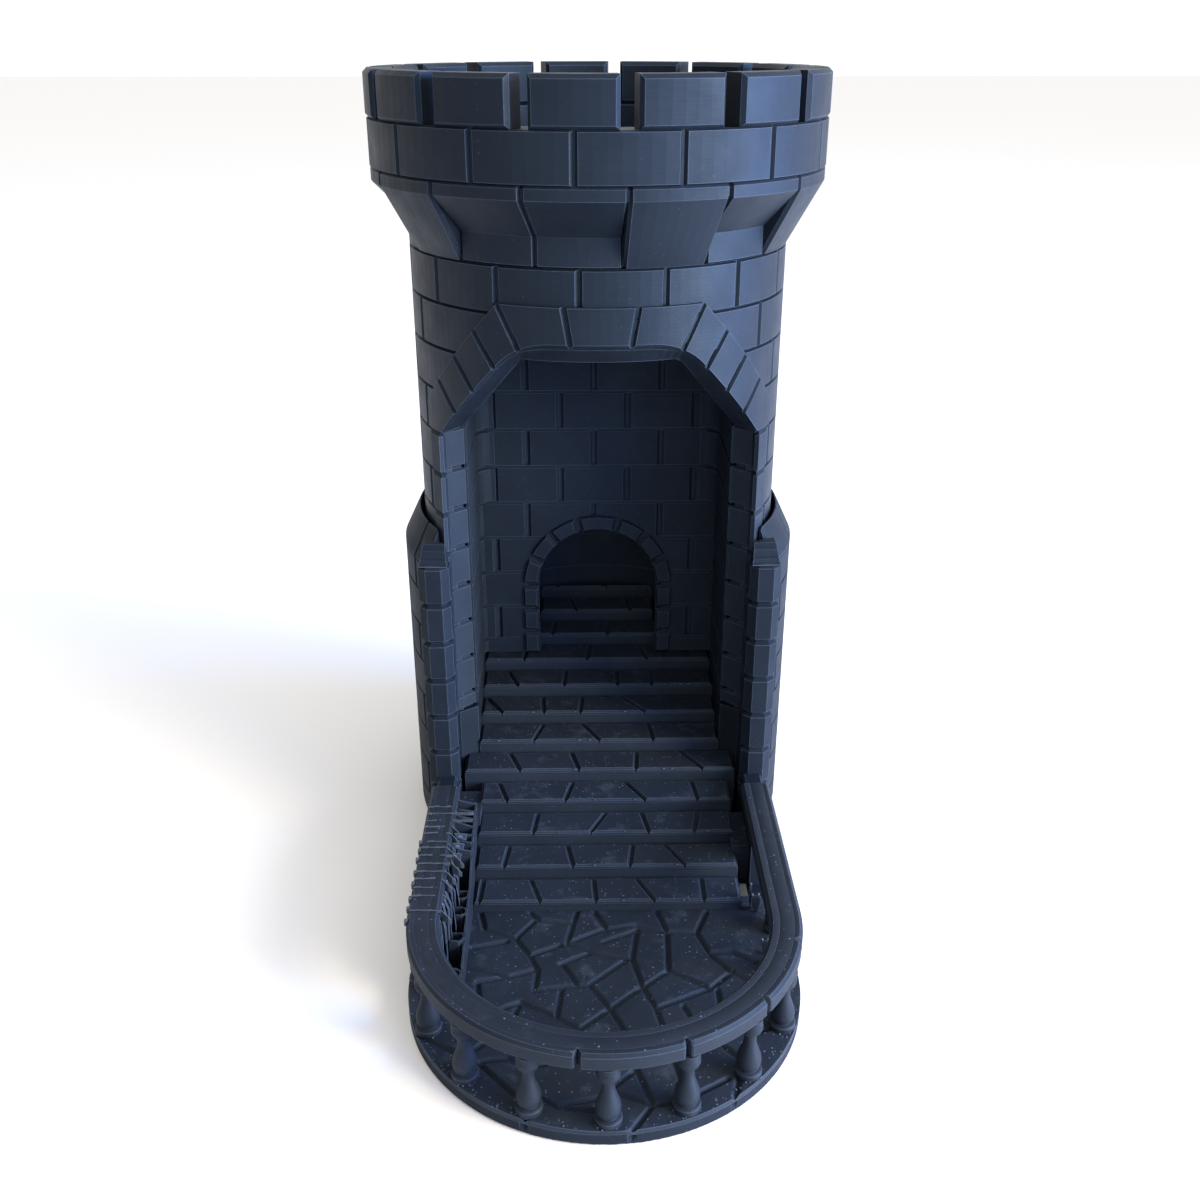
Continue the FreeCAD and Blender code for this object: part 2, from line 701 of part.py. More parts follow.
save("ring_course", [ring_course()])
save("merlons", [merlon(number) for number in range(bricks_round)])
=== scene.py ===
"""Looks of the castle dice tower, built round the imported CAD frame.

All shapes are worked out in millimetres in the row frame, and scaled to metres when a mesh is made.
A bearing is an angle in degrees round the tower's axis, from the front (-Y) towards +X.
"""

import random
from math import asin, atan2, copysign, cos, degrees, hypot, pi, radians, sin, sqrt, tan

import bmesh
import bpy
import numpy as np
from mathutils import Matrix, Vector


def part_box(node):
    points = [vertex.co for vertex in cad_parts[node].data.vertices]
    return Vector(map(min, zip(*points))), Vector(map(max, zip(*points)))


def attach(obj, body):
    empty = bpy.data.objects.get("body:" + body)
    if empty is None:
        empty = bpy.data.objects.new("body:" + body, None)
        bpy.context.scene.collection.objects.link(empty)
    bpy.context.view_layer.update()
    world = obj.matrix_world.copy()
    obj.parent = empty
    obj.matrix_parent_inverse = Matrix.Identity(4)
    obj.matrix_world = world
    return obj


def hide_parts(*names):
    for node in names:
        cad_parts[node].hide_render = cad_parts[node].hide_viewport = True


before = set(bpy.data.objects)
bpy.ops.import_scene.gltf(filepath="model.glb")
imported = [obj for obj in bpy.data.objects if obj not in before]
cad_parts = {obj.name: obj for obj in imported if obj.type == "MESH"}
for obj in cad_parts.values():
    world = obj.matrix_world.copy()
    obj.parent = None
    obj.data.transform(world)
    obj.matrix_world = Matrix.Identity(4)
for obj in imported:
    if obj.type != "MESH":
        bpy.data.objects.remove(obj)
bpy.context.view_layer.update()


def cad(node):
    """Lowest and highest corner of a CAD node, in millimetres."""
    low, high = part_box(node)
    return [c * 1000 for c in low], [c * 1000 for c in high]


# ---- sizes read from the frame
wall_low, wall_high = cad("tower_wall")
tower_r = wall_high[0]
tower_foot, corbel_foot = wall_low[2], wall_high[2]
ring_low, ring_high = cad("ring_course")
crown_r, ring_foot, ring_top = ring_high[0], ring_low[2], ring_high[2]
crown_top = cad("merlons")[1][2]
collar_r, _, coping_foot = cad("collar_wall")[1]
collar_top = cad("collar_coping")[1][2]
plate_low, plate_high = cad("base_plate")
plate = plate_high[2]
floor = cad("flagstones")[1][2]
balcony_r = 43.6
balcony_y = plate_low[1] + balcony_r
rail_low, rail_high = cad("balcony_rail")
rail_r, rail_foot, rail_top = rail_high[0], rail_low[2], rail_high[2]
back_wall_y = cad("alcove_back_wall")[0][1]
course = ring_top - ring_foot

# ---- masonry sizes
bricks_round = 15
pitch = 360 / bricks_round
joint_bearing = -6.0
joint_width, joint_root, joint_depth = 1.5, 0.5, 0.7
half_joint = joint_root / 2
bevel = (joint_width - joint_root) / 2
facets = 8  # flat facets in one brick length
facet_bearing = pitch / facets
tower_inner_r, collar_inner_r = 41.5, 46.2
embed = 0.6  # how deep a stone goes into the body behind it
least = 0.6  # a wall brick cut shorter than this is left out

# ---- mesh makers
def mix(a, b, t):
    return a + (b - a) * t


def between(start, end, count):
    """Values from start to end in equal steps, both included."""
    return [mix(start, end, i / count) for i in range(count + 1)]


def around(r, bearing, centre_y=0.0):
    """Plan point at a distance and a bearing from a centre on the Y axis."""
    angle = radians(bearing)
    return r * sin(angle), centre_y - r * cos(angle)


def turned(profile, bearing):
    """Profile of (r, z) points at a bearing."""
    return [(*around(r, bearing), z) for r, z in profile]


def at_height(outline, z):
    return [(x, y, z) for x, y in outline]


class Shape:
    """Points and faces of one piece, in millimetres."""

    def __init__(self):
        self.points, self.faces = [], []

    def loft(self, rings, cap=True):
        """Closed solid through rings of points. The rings are closed outlines with equal counts."""
        start, n = len(self.points), len(rings[0])
        for ring in rings:
            self.points += ring
        for k in range(len(rings) - 1):
            a, b = start + k * n, start + (k + 1) * n
            self.faces += [(a + i, a + (i + 1) % n, b + (i + 1) % n, b + i) for i in range(n)]
        if cap:
            self.faces.append(tuple(range(start + n - 1, start - 1, -1)))
            last = start + (len(rings) - 1) * n
            self.faces.append(tuple(range(last, last + n)))

    def strip_caps(self, rings):
        """Like loft, for rings that run along one side and back along the other with matched points."""
        start, n = len(self.points), len(rings[0])
        self.loft(rings, cap=False)
        last = start + (len(rings) - 1) * n
        for i in range(n // 2 - 1):
            self.faces.append((start + i, start + n - 1 - i, start + n - 2 - i, start + i + 1))
            self.faces.append((last + i, last + i + 1, last + n - 2 - i, last + n - 1 - i))

    def both_halves(self, half):
        """Loft through rings of the right half and their mirror images; the first ring is the middle."""
        self.loft([[(-x, y, z) for x, y, z in ring] for ring in reversed(half[1:])] + half)

    def mirrored(self):
        """The same shape on the other side of the YZ plane."""
        other = Shape()
        other.points = [(-x, y, z) for x, y, z in self.points]
        other.faces = [face[::-1] for face in self.faces]
        return other

    def piece(self, name, body, material, *nodes, smooth=None):
        mesh = bpy.data.meshes.new(name)
        mesh.from_pydata([(x / 1000, y / 1000, z / 1000) for x, y, z in self.points], [], self.faces)
        work = bmesh.new()
        work.from_mesh(mesh)
        bmesh.ops.recalc_face_normals(work, faces=work.faces)
        work.to_mesh(mesh)
        work.free()
        if smooth:
            mesh.shade_smooth()
            mesh.set_sharp_from_angle(angle=radians(smooth))
        mesh.materials.append(material)
        made = bpy.data.objects.new(name, mesh)
        bpy.context.scene.collection.objects.link(made)
        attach(made, body)
        if nodes:
            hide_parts(*nodes)


def piece(*facts, **looks):
    """Makes one piece of the shape that the function below fills."""
    def make(fill):
        shape = Shape()
        fill(shape)
        shape.piece(*facts, **looks)
        return fill
    return make


def pair(name, body, material, node):
    """Makes a piece of the shape that the function below fills, and its mirror image on the left."""
    def make(fill):
        shape = Shape()
        fill(shape)
        shape.piece("right_" + name, body, material, "right_" + node)
        shape.mirrored().piece("left_" + name, body, material, "left_" + node)
        return fill
    return make


def inset(points, gaps):
    """Outline with each edge moved inwards by its gap. Edge i starts at point i; counter-clockwise."""
    n = len(points)
    lines = []
    for i in range(n):
        (x0, y0), (x1, y1) = points[i], points[(i + 1) % n]
        length = hypot(x1 - x0, y1 - y0)
        nx, ny = (y0 - y1) / length, (x1 - x0) / length
        lines.append((nx, ny, nx * x0 + ny * y0 + gaps[i]))
    moved = []
    for i in range(n):
        (a, b, c), (d, e, f) = lines[i - 1], lines[i]
        det = a * e - b * d
        if abs(det) < 1e-6:
            moved.append((points[i][0] + d * gaps[i], points[i][1] + e * gaps[i]))
        else:
            moved.append(((c * e - b * f) / det, (a * f - c * d) / det))
    return moved


def ladder(corners, count):
    """Outline of four corners with its lower and upper edge divided into the same number of parts."""
    (ax, ay), (bx, by), (cx, cy), (dx, dy) = corners
    steps = [i / count for i in range(1, count + 1)]
    low = [(ax, ay)] + [(mix(ax, bx, t), mix(ay, by, t)) for t in steps]
    high = [(dx, dy)] + [(mix(dx, cx, t), mix(dy, cy, t)) for t in steps]
    return low + high[::-1]


def on_cylinder(radius):
    """Maps (length round a face of that radius, height, distance from the axis) to a point."""
    def to_point(u, v, w):
        angle = u / radius
        return w * sin(angle), -w * cos(angle), v
    return to_point


def stone(shape, to_point, outline, back, face, slope=bevel, deep=joint_depth, sides=None, bend=0.0):
    """Stone whose face edges are bevelled. sides scales the bevel of each edge of the outline.

    bend is the length between two facets on a curved face, or 0 on a flat one. The facets meet on
    upright lines, so that each of them is flat.
    """
    tiny = 1e-5
    inner = inset(outline, [slope * s for s in sides or [1] * len(outline)])
    cuts = []
    if bend:
        ends = [u for u, _ in inner]
        first, last = min(ends), max(ends)
        even = between(first, last, max(1, round((last - first) / bend)))[1:-1]
        lines = sorted(ends + [c for c in even if min(abs(c - u) for u in ends) > 0.1])
        cuts = [c for i, c in enumerate(lines) if i == 0 or c - lines[i - 1] > tiny]
    parts = []
    for (u0, _), (u1, _) in zip(inner, inner[1:] + inner[:1]):
        inside = [c for c in cuts if min(u0, u1) + 10 * tiny < c < max(u0, u1) - 10 * tiny]
        parts.append([0.0] + sorted((c - u0) / (u1 - u0) for c in inside))

    def divide(points):
        return [(mix(p[0], q[0], t), mix(p[1], q[1], t))
                for p, q, part in zip(points, points[1:] + points[:1], parts) for t in part]

    rim, behind = divide(inner), divide(outline)
    start, count = len(shape.points), len(rim)
    rings = [(behind, back), (behind, face - deep), (rim, face)]
    shape.loft([[to_point(u, v, w) for u, v in ring] for ring, w in rings], cap=False)
    shape.faces.append(tuple(range(start + count - 1, start - 1, -1)))
    top = start + 2 * count
    if not bend:
        shape.faces.append(tuple(range(top, top + count)))
    for c0, c1 in zip(cuts, cuts[1:]):
        shape.faces.append(tuple(top + i for i, (u, _) in enumerate(rim) if c0 - tiny < u < c1 + tiny))


def brick(shape, radius, start, end, low, high, cut_start=None, cut_end=None):
    """Brick on a round wall between two bearings; a cut end is given as (length at foot, at top)."""
    level, narrow, wide = 0.12, 0.6, 1.15
    a, b = radians(start) * radius + half_joint, radians(end) * radius - half_joint
    left, right = cut_start or (a, a), cut_end or (b, b)
    low, high = low + level, high - level
    outline = [(left[0], low), (right[0], low), (right[1], high), (left[1], high)]
    sides = (narrow, 0 if cut_end else wide, narrow, 0 if cut_start else wide)
    stone(shape, on_cylinder(radius), outline, radius - joint_depth - embed, radius, sides=sides,
          bend=radians(facet_bearing) * radius)


def turned_stone(shape, profile, start, end, radius):
    """Stone swept between two bearings. profile(back) gives its section, set back at both joints."""
    gap, slope = degrees(half_joint / radius), degrees(bevel / radius)
    a, b = start + gap, end - gap
    middle = [turned(profile(0.0), bearing) for bearing in between(a + slope, b - slope, facets)]
    shape.loft([turned(profile(joint_depth), a)] + middle + [turned(profile(joint_depth), b)])


def sector(shape, profile, start, end, count):
    """Solid of revolution of an (r, z) profile between two bearings."""
    shape.loft([turned(profile, bearing) for bearing in between(start, end, count)], cap=end - start < 359.9)


def tube(shape, inner, face, low, high, start, end, count):
    """Round wall behind the bricks, as deep as their joints."""
    core = face - joint_depth
    sector(shape, [(inner, low), (core, low), (core, high), (inner, high)], start, end, count)


def plan_solid(shape, outline, low, high):
    shape.loft([at_height(outline, low), at_height(outline, high)])


def box(shape, x0, y0, z0, x1, y1, z1):
    plan_solid(shape, [(x0, y0), (x1, y0), (x1, y1), (x0, y1)], z0, z1)


def layered(shape, outline, low, high, gaps, edge):
    """Stone with a plan outline whose level edges are bevelled. gaps sets how far each edge goes in."""
    inner, lip = inset(outline, gaps), 0.15
    shape.loft([at_height(inner, low + lip), at_height(outline, low + edge),
                at_height(outline, high - edge), at_height(inner, high - lip)])
    plan_solid(shape, inner, low, high)


# ---- materials
class Tree:
    """Node tree with short ways to add a node. A socket's value is a number, a colour or an output."""

    def __init__(self, tree):
        self.tree = tree

    def fill(self, node, sockets):
        for socket, value in sockets.items():
            if isinstance(value, bpy.types.NodeSocket):
                self.tree.links.new(value, node.inputs[socket])
            else:
                node.inputs[socket].default_value = value

    def add(self, kind, sockets=None, output=0, **settings):
        node = self.tree.nodes.new("ShaderNode" + kind)
        for key, value in settings.items():
            setattr(node, key, value)
        self.fill(node, sockets or {})
        return node.outputs[output]

    def maths(self, operation, *values):
        return self.add("Math", dict(enumerate(values)), operation=operation)

    def weigh(self, a, share_a, b, share_b):
        return self.maths("ADD", self.maths("MULTIPLY", a, share_a), self.maths("MULTIPLY", b, share_b))

    def scaled(self, value, low, high, to_low=0.0, to_high=1.0):
        return self.add("MapRange", {"Value": value, "From Min": low, "From Max": high, "To Min": to_low,
                                     "To Max": to_high})

    def blend(self, share, a, b, **settings):
        return self.add("Mix", {"Factor": share, "A": a, "B": b}, "Result", data_type="RGBA", **settings)


layer_height, layer_band, raster_step = 0.0002, 0.00083, 0.00064  # spacings of the print's lines, metres
rubbed_colour = (0.16, 0.20, 0.27, 1.0)
speck_colour = (0.15, 0.19, 0.26, 1.0)
# colour of the painted highlight along convex edges
edge_highlight_colour = (0.10, 0.14, 0.21, 1.0)
gloss_tint = (0.5, 0.72, 1.0, 1.0)


def printed_plastic(name, colour, roughness, lines=0.35, specks=0.5, seed=0.0, shine=0.25, highlight_strength=0.5,
                    smears=0.0):
    """Matte printed plastic: layer lines, raster on flat tops, mottling, specks, smears, and a painted
    highlight on convex edges.
    """
    made = bpy.data.materials.new(name)
    made.use_nodes = True
    tree = Tree(made.node_tree)
    maths = tree.maths
    place = tree.add("TexCoord", output="Object")
    x, y, z = tree.add("SeparateXYZ", {0: place}).node.outputs
    up = tree.add("SeparateXYZ", {0: tree.add("NewGeometry", output="Normal")}, "Z")

    def noise(scale, detail=3.0, rough=0.55, offset=0.0):
        move = (seed + offset, seed * 0.7, offset * 1.3)
        moved = tree.add("Mapping", {"Location": move, "Vector": place})
        sockets = {"Scale": scale, "Detail": detail, "Roughness": rough, "Vector": moved}
        return tree.add("TexNoise", sockets, "Fac")

    def wave(along, spacing):
        return maths("SINE", maths("MULTIPLY", along, 2 * pi / spacing))

    height = maths("ADD", z, maths("MULTIPLY", noise(35.0), 0.00012))
    walls = tree.weigh(wave(height, layer_height), 0.5, wave(height, layer_band), 0.22)
    tops = tree.weigh(wave(maths("ADD", x, y), raster_step), 0.16, noise(1400.0, 2.0), 0.8)
    flat = maths("GREATER_THAN", up, 0.985)
    relief = tree.weigh(tops, flat, walls, maths("SUBTRACT", 1.0, flat))
    relief = maths("ADD", relief, maths("MULTIPLY", noise(260.0, 4.0), 0.9))
    bump = tree.add("Bump", {"Strength": lines, "Distance": 0.00006, "Height": relief})

    cloud = tree.scaled(noise(70.0, 4.0, offset=3.0), 0.3, 0.7, 0.86, 1.16)
    grey = tree.add("CombineColor", {0: cloud, 1: cloud, 2: cloud})
    skin = tree.blend(1.0, (*colour, 1.0), grey, blend_type="MULTIPLY")
    rubbed = tree.scaled(noise(150.0, 5.0, rough=0.65, offset=5.0), 0.56, 0.72, 0.0, smears)
    skin = tree.blend(maths("MULTIPLY", rubbed, flat), skin, rubbed_colour)
    cells = tree.add("TexVoronoi", {"Scale": 1150.0, "Vector": place}).node.outputs
    pick = tree.add("SeparateColor", {0: cells["Color"]}).node.outputs
    near = maths("LESS_THAN", cells["Distance"], 0.22)
    rare = maths("GREATER_THAN", pick[0], 1.0 - 0.12 * specks)
    on_top = maths("ADD", maths("MULTIPLY", flat, 0.85), 0.15)
    amount = maths("MULTIPLY", maths("MULTIPLY", near, rare), on_top)
    amount = maths("MULTIPLY", amount, maths("MULTIPLY", pick[1], 0.75))
    skin = tree.blend(amount, skin, speck_colour)

    # painted highlight on convex edges: where the normal of a slightly rounded edge leaves the true one, and
    # nothing stands close by
    rounded = tree.add("Bevel", {"Radius": 0.00028}, samples=4)
    turn = tree.add("VectorMath", {0: rounded, 1: tree.add("NewGeometry", output="Normal")}, "Value",
                    operation="DOT_PRODUCT")
    edge = tree.scaled(turn, 0.995, 0.90, 0.0, highlight_strength)
    outside = tree.scaled(tree.add("AmbientOcclusion", {"Distance": 0.0009}, "AO", samples=6), 0.86, 0.99)
    skin = tree.blend(maths("MULTIPLY", edge, outside), skin, edge_highlight_colour)

    uneven = tree.scaled(noise(120.0, 3.0, offset=8.0), 0.3, 0.7, roughness - 0.06, roughness + 0.07)
    tree.fill(made.node_tree.nodes["Principled BSDF"],
              {"Base Color": skin, "Normal": bump, "Roughness": uneven, "Specular IOR Level": shine,
               "Specular Tint": gloss_tint})
    return made


navy = (0.0078, 0.0112, 0.0182)
# a paler navy, used for the paving and the stairs
paler_navy = (0.0150, 0.0200, 0.0310)
tower_plastic = printed_plastic("tower_plastic", navy, 0.5)
crown_plastic = printed_plastic("crown_plastic", navy, 0.5, seed=1.7)
alcove_plastic = printed_plastic("alcove_plastic", (0.0120, 0.0170, 0.0270), 0.6, seed=3.1, shine=0.21)
base_plastic = printed_plastic("base_plastic", navy, 0.6, seed=4.4, shine=0.16)
# painted shade: a near-black, dull copy of the navy for the hopper ramp, standing in for the shade inside
# the tower
shaft_painted_shade_plastic = printed_plastic("shaft_painted_shade_plastic", (0.0020, 0.0028, 0.0045), 0.7, seed=2.2, shine=0.06)
paving_plastic = printed_plastic("paving_plastic", paler_navy, 0.55, lines=0.6, specks=2.6, seed=5.9,
                                 smears=0.16)
rail_plastic = printed_plastic("rail_plastic", (0.0140, 0.0180, 0.0270), 0.55, lines=0.5, specks=1.2,
                               seed=7.2, shine=0.2, smears=0.05)
stretched_plastic = printed_plastic("stretched_plastic", (0.060, 0.074, 0.095), 0.4, lines=0.5, seed=9.1,
                                    highlight_strength=0.3)

# ---- tower wall
def row_lines(low, high):
    lines = [corbel_foot - course * i for i in range(int(corbel_foot / course) + 1)]
    return [low] + sorted(z for z in lines if low + 1 < z < high - 1) + [high]


def joint_bearings(odd):
    shift = joint_bearing + (pitch / 2 if odd else 0)
    return [shift + pitch * i for i in range(bricks_round)]


opening_x, reveal_x = 40.2, 36.7  # outer edge of the corner stones, edge of the opening
opening_s = tower_r * asin(opening_x / tower_r)  # the same edges as lengths along the round face
reveal_s = tower_r * asin(reveal_x / tower_r)
arch_flat, arch_edge_top, arch_band = 18.2, 136.0, 8.2
outer_flat = 23.3
outer_top = arch_edge_top + arch_band
outer_sum = outer_flat + outer_top  # length and height add up to this along the arms
arch_spring = corbel_foot - 4 * course
hidden = 3.0  # bricks end this far under the arch stones
soffit = 131.4


def wall_end(z):
    """Where the wall's bricks end, as a length from the front: under the arch or corner stones."""
    if z > outer_top - hidden:
        return 0.0
    return min(opening_s, outer_sum - z) - hidden


@piece("tower_bricks", "tower", tower_plastic, "tower_wall")
def tower_walls(shape):
    rows = row_lines(tower_foot, corbel_foot)
    turn = 2 * pi * tower_r
    for number, (low, high) in enumerate(zip(rows, rows[1:])):
        whole = high > outer_top
        limits = (0.0, 0.0) if whole else (wall_end(low), wall_end(high))
        ends = [turn - limit for limit in limits]
        for start in joint_bearings(number % 2 == 0):
            start %= 360
            a, b = radians(start) * tower_r, radians(start + pitch) * tower_r
            if whole:
                brick(shape, tower_r, start, start + pitch, low, high)
            elif b > max(limits) + least and a < min(ends) - least:
                brick(shape, tower_r, start, start + pitch, low, high,
                      limits if a < max(limits) else None, ends if b > min(ends) else None)
        corners = [(limits[0], low), (ends[0], low), (ends[1], high), (limits[1], high)]
        ring = ladder(corners, bricks_round * facets)
        place = on_cylinder(tower_r)
        shape.strip_caps([[place(u, v, w) for u, v in ring] for w in (tower_inner_r, tower_r - joint_depth)])


# ---- crown: corbels, ring course and merlons
def corbel_profile(deep, back):
    """Section of a corbel set back by some distance."""
    lip, lip_r = ring_foot - 3.0, crown_r - 0.1
    outer = [(tower_r - back, corbel_foot + 0.1 + back * 0.4)]
    if not deep:
        outer = [(tower_r - back, corbel_foot + 0.35), (tower_r - back, lip - 8.0 + back * 0.3)]
    outer += [(lip_r - back, lip + back * 0.4), (lip_r - back, ring_foot - 0.6 - back * 0.2),
              (lip_r - 0.6 - back, ring_foot)]
    return [(tower_inner_r, corbel_foot)] + outer + [(tower_inner_r, ring_foot)]


@piece("crown_corbels", "tower", crown_plastic, "corbels", "crown_wall")
def corbel_stones(shape):
    for number, start in enumerate(joint_bearings(True)):
        deep = number % 2 == 0 and number != bricks_round - 1

        def profile(back):
            return corbel_profile(deep, back)

        sector(shape, profile(joint_depth + 0.05), start, start + pitch, facets)
        turned_stone(shape, profile, start, start + pitch, crown_r)


@piece("crown_ring", "tower", crown_plastic, "ring_course")
def ring_stones(shape):
    for start in joint_bearings(False):
        brick(shape, crown_r, start, start + pitch, ring_foot - half_joint, ring_top + half_joint)
    tube(shape, tower_inner_r, crown_r, ring_foot, ring_top, 0, 360, bricks_round * facets)


@piece("crown_merlons", "tower", crown_plastic, "merlons")
def merlon_stones(shape):
    face, inner, chamfer, share = crown_r + 0.2, 46.0, 0.9, 0.83
    place = on_cylinder(face)
    reach = radians(pitch * share / 2) * face
    for bearing in joint_bearings(False):
        middle = radians(bearing) * face
        corners = [(middle - reach, ring_top), (middle + reach, ring_top), (middle + reach, crown_top),
                   (middle - reach, crown_top)]
        small = inset(corners, [chamfer] * 4)
        levels = [(small, inner), (corners, inner + chamfer), (corners, face - chamfer), (small, face)]
        shape.strip_caps([[place(u, v, w) for u, v in ladder(ring, 6)] for ring, w in levels])


# ---- arch over the opening
arch_face = tower_r + 0.6
arm_drop = reveal_s - arch_flat
fillet = 7.5  # length of each side of the rounded inner corner
fillet_r = fillet / tan(radians(22.5))
key_half, key_taper = 7.3, 0.7  # half width of the keystone and its splay


def flat_point(s, z, r):
    """Point at a length s round the tower's face, a height and a distance from the axis."""
    angle = s / tower_r
    return r * sin(angle), -r * cos(angle), z


def intrados(s):
    """Height of the arch's inner edge: level, then rounded into a line falling at 45 degrees."""
    s = abs(s)
    if s < arch_flat - fillet:
        return arch_edge_top
    if s < arch_flat + fillet / sqrt(2):
        reach = s - (arch_flat - fillet)
        return arch_edge_top - fillet_r + sqrt(fillet_r ** 2 - reach ** 2)
    return arch_edge_top - (s - arch_flat)


def soffit_back(s):
    """Point of the soffit's lower back edge that belongs to a place on the inner edge."""
    turn_x, turn_y, jamb_x, jamb_y = 17.5, -37.2, 32.7, -18.5
    if abs(s) <= arch_flat:
        angle = atan2(turn_x, -turn_y) * s / arch_flat
        r = mix(40.6, hypot(turn_x, turn_y), abs(s) / arch_flat)
        return r * sin(angle), -r * cos(angle), soffit
    t = min(1.0, (abs(s) - arch_flat) / arm_drop)
    return copysign(mix(turn_x, jamb_x, t), s), mix(turn_y, jamb_y, t), mix(soffit, arch_spring, t)


def soffit_point(s, r, z):
    """Point on the soffit at a distance from the axis, below the inner edge's point (s, z)."""
    front, back = flat_point(s, z, arch_face), soffit_back(s)
    t = (arch_face - r) / (arch_face - hypot(back[0], back[1]))
    return tuple(mix(p, q, t) for p, q in zip(front, back))


@piece("vault", "tower", alcove_plastic, "alcove_vault")
def vault(shape):
    """Ceiling of the alcove: level in the middle, sloping down to the side walls."""
    thick, rear = 3.0, back_wall_y + 1.0
    half = []
    for s in between(0, arch_flat + arm_drop, 20):
        x, y, z = soffit_back(s)
        half.append([(x, y, z), (x, rear, z), (x, rear, z + thick), (x, y + 0.5, z + thick)])
    shape.both_halves(half)


@piece("arch_body", "tower", tower_plastic, "arch_stones")
def arch_body(shape):
    """Continuous stone behind the voussoirs, with the bevel that leads into the alcove."""
    front_r = arch_face - joint_depth
    arm_end = outer_sum - (arch_edge_top - arm_drop)
    level = [(s, mix(0, outer_flat, s / arch_flat), outer_top) for s in between(0, arch_flat, 10)]
    arm = []
    for t in between(0, 1, 14)[1:]:
        outer_s = min(mix(outer_flat, arm_end, t), opening_s)
        arm.append((arch_flat + arm_drop * t, outer_s, mix(outer_top, arch_edge_top - arm_drop, t)))
    half = []
    for s, outer_s, outer_z in level + arm + [(reveal_s, opening_s, arch_spring)]:
        z = arch_spring if outer_z == arch_spring else intrados(s)
        half.append([soffit_point(s, front_r, z + 0.06), flat_point(outer_s, outer_z, front_r),
                     flat_point(outer_s, outer_z, tower_inner_r), soffit_back(s)])
    shape.both_halves(half)


def arch_stone_edges():
    """Inner and outer edge of each arch stone of the right half, from the keystone down."""
    key_foot, key_head = key_half - 0.75, key_half + 0.75
    step = half_joint / sqrt(2)
    run = (opening_s - outer_flat) / 4
    cuts = [(arch_flat + 6.2 * i, outer_flat + run * i) for i in range(4)]

    def inner(start, end):
        return [(s, intrados(s)) for s in between(start, end, max(1, round((end - start) / 1.5)))]

    def on_arm(s):
        return s, outer_sum - s

    stones = [(inner(key_foot + half_joint, arch_flat - half_joint),
               [(outer_flat - half_joint, outer_top), (key_head + half_joint, outer_top)])]
    for (a, c), (b, d) in zip(cuts, cuts[1:]):
        stones.append((inner(a + step, b - step), [on_arm(d - step), on_arm(c + step)]))
    a, c = cuts[-1]
    foot = arch_spring + half_joint
    stones.append((inner(a + step, reveal_s) + [(reveal_s + 0.1, foot)],
                   [(opening_s, foot), on_arm(opening_s), on_arm(c + step)]))
    return stones


@piece("arch_voussoirs", "tower", tower_plastic)
def arch_stones(shape):
    narrow, outer_share = 0.2, 0.4  # bevel along the inner and the outer edge

    def place(u, v, w):
        on_edge = v < intrados(u) + 0.02 or reveal_s - 0.01 < abs(u) < reveal_s + 0.2
        return soffit_point(u, w, v) if on_edge and w < arch_face - 0.1 else flat_point(u, v, w)

    def add(outline, sides):
        stone(shape, place, outline, arch_face - joint_depth - embed, arch_face, sides=sides,
              bend=radians(facet_bearing) * tower_r)

    key = key_half - half_joint
    add([(key_taper - key, arch_edge_top), (key - key_taper, arch_edge_top), (key + key_taper, outer_top),
         (-key - key_taper, outer_top)], (narrow, 1, outer_share, 1))
    for inner, outer in arch_stone_edges():
        sides = [narrow] * (len(inner) - 1) + [1] + [outer_share] * (len(outer) - 1) + [1]
        add(inner + outer, sides)
        add([(-u, v) for edge in (inner, outer) for u, v in edge[::-1]], sides)


# ---- corner stones and alcove
jamb_x, jamb_y = 32.7, -18.5  # inner end of the splayed side of the opening
alcove_half, alcove_back_x = 32.2, 35.5  # face and back of the alcove's side wall
wide_joint = 0.8  # how far the level joints go in


@pair("corner_stones", "tower", alcove_plastic, "quoins")
def corner_stones(shape):
    """Stones of the right edge of the opening: round face, small bevel, splayed face."""
    near_y, far_y = (-sqrt(arch_face ** 2 - x ** 2) for x in (37.4, opening_x))
    outline = [(opening_x, -13.0), (jamb_x, -13.0), (jamb_x, jamb_y), (36.75, -22.1), (37.0, -25.0),
               (37.9, near_y + 0.5), (opening_x, far_y)]
    rows = row_lines(tower_foot, arch_spring)
    for low, high in zip(rows, rows[1:]):
        layered(shape, outline, low, high, [0.0] + [wide_joint] * 5 + [0.0], 0.85)


@pair("alcove_bricks", "tower", alcove_plastic, "alcove_wall")
def alcove_side(shape):
    """Bricks of the right side wall. The upper rows curve into the back wall, the lower end in a corner."""
    near_y, x, radius, strip = -18.3, alcove_half, 4.6, 0.9
    centre_x, centre_y, rear = x - radius, back_wall_y - radius, back_wall_y + 1
    curve = [(centre_x + radius * cos(radians(a)), centre_y + radius * sin(radians(a)))
             for a in range(90, -1, -15)]
    behind = [(alcove_back_x, near_y), (alcove_back_x, rear)]
    rounded = behind + [(centre_x, rear)] + curve + [(x, near_y)]
    square = behind + [(x - strip, rear), (x - strip, back_wall_y - 0.05), (x, back_wall_y - 0.05 - strip),
                       (x, near_y)]
    rows = row_lines(tower_foot, arch_spring)
    for low, high in zip(rows, rows[1:]):
        outline = square if high < 82 else rounded
        gaps = [0.0] * 3 + [wide_joint] * (len(outline) - 4) + [0.0]
        layered(shape, outline, low, high, gaps, 0.7)
    box(shape, x + wide_joint, near_y, tower_foot, alcove_back_x, rear, arch_spring)


door_half, door_band, door_spring = 16.4, 4.2, 55.6


def on_wall(u, v, w):
    """Maps (right, up, towards the front) to a point."""
    return u, -w, v


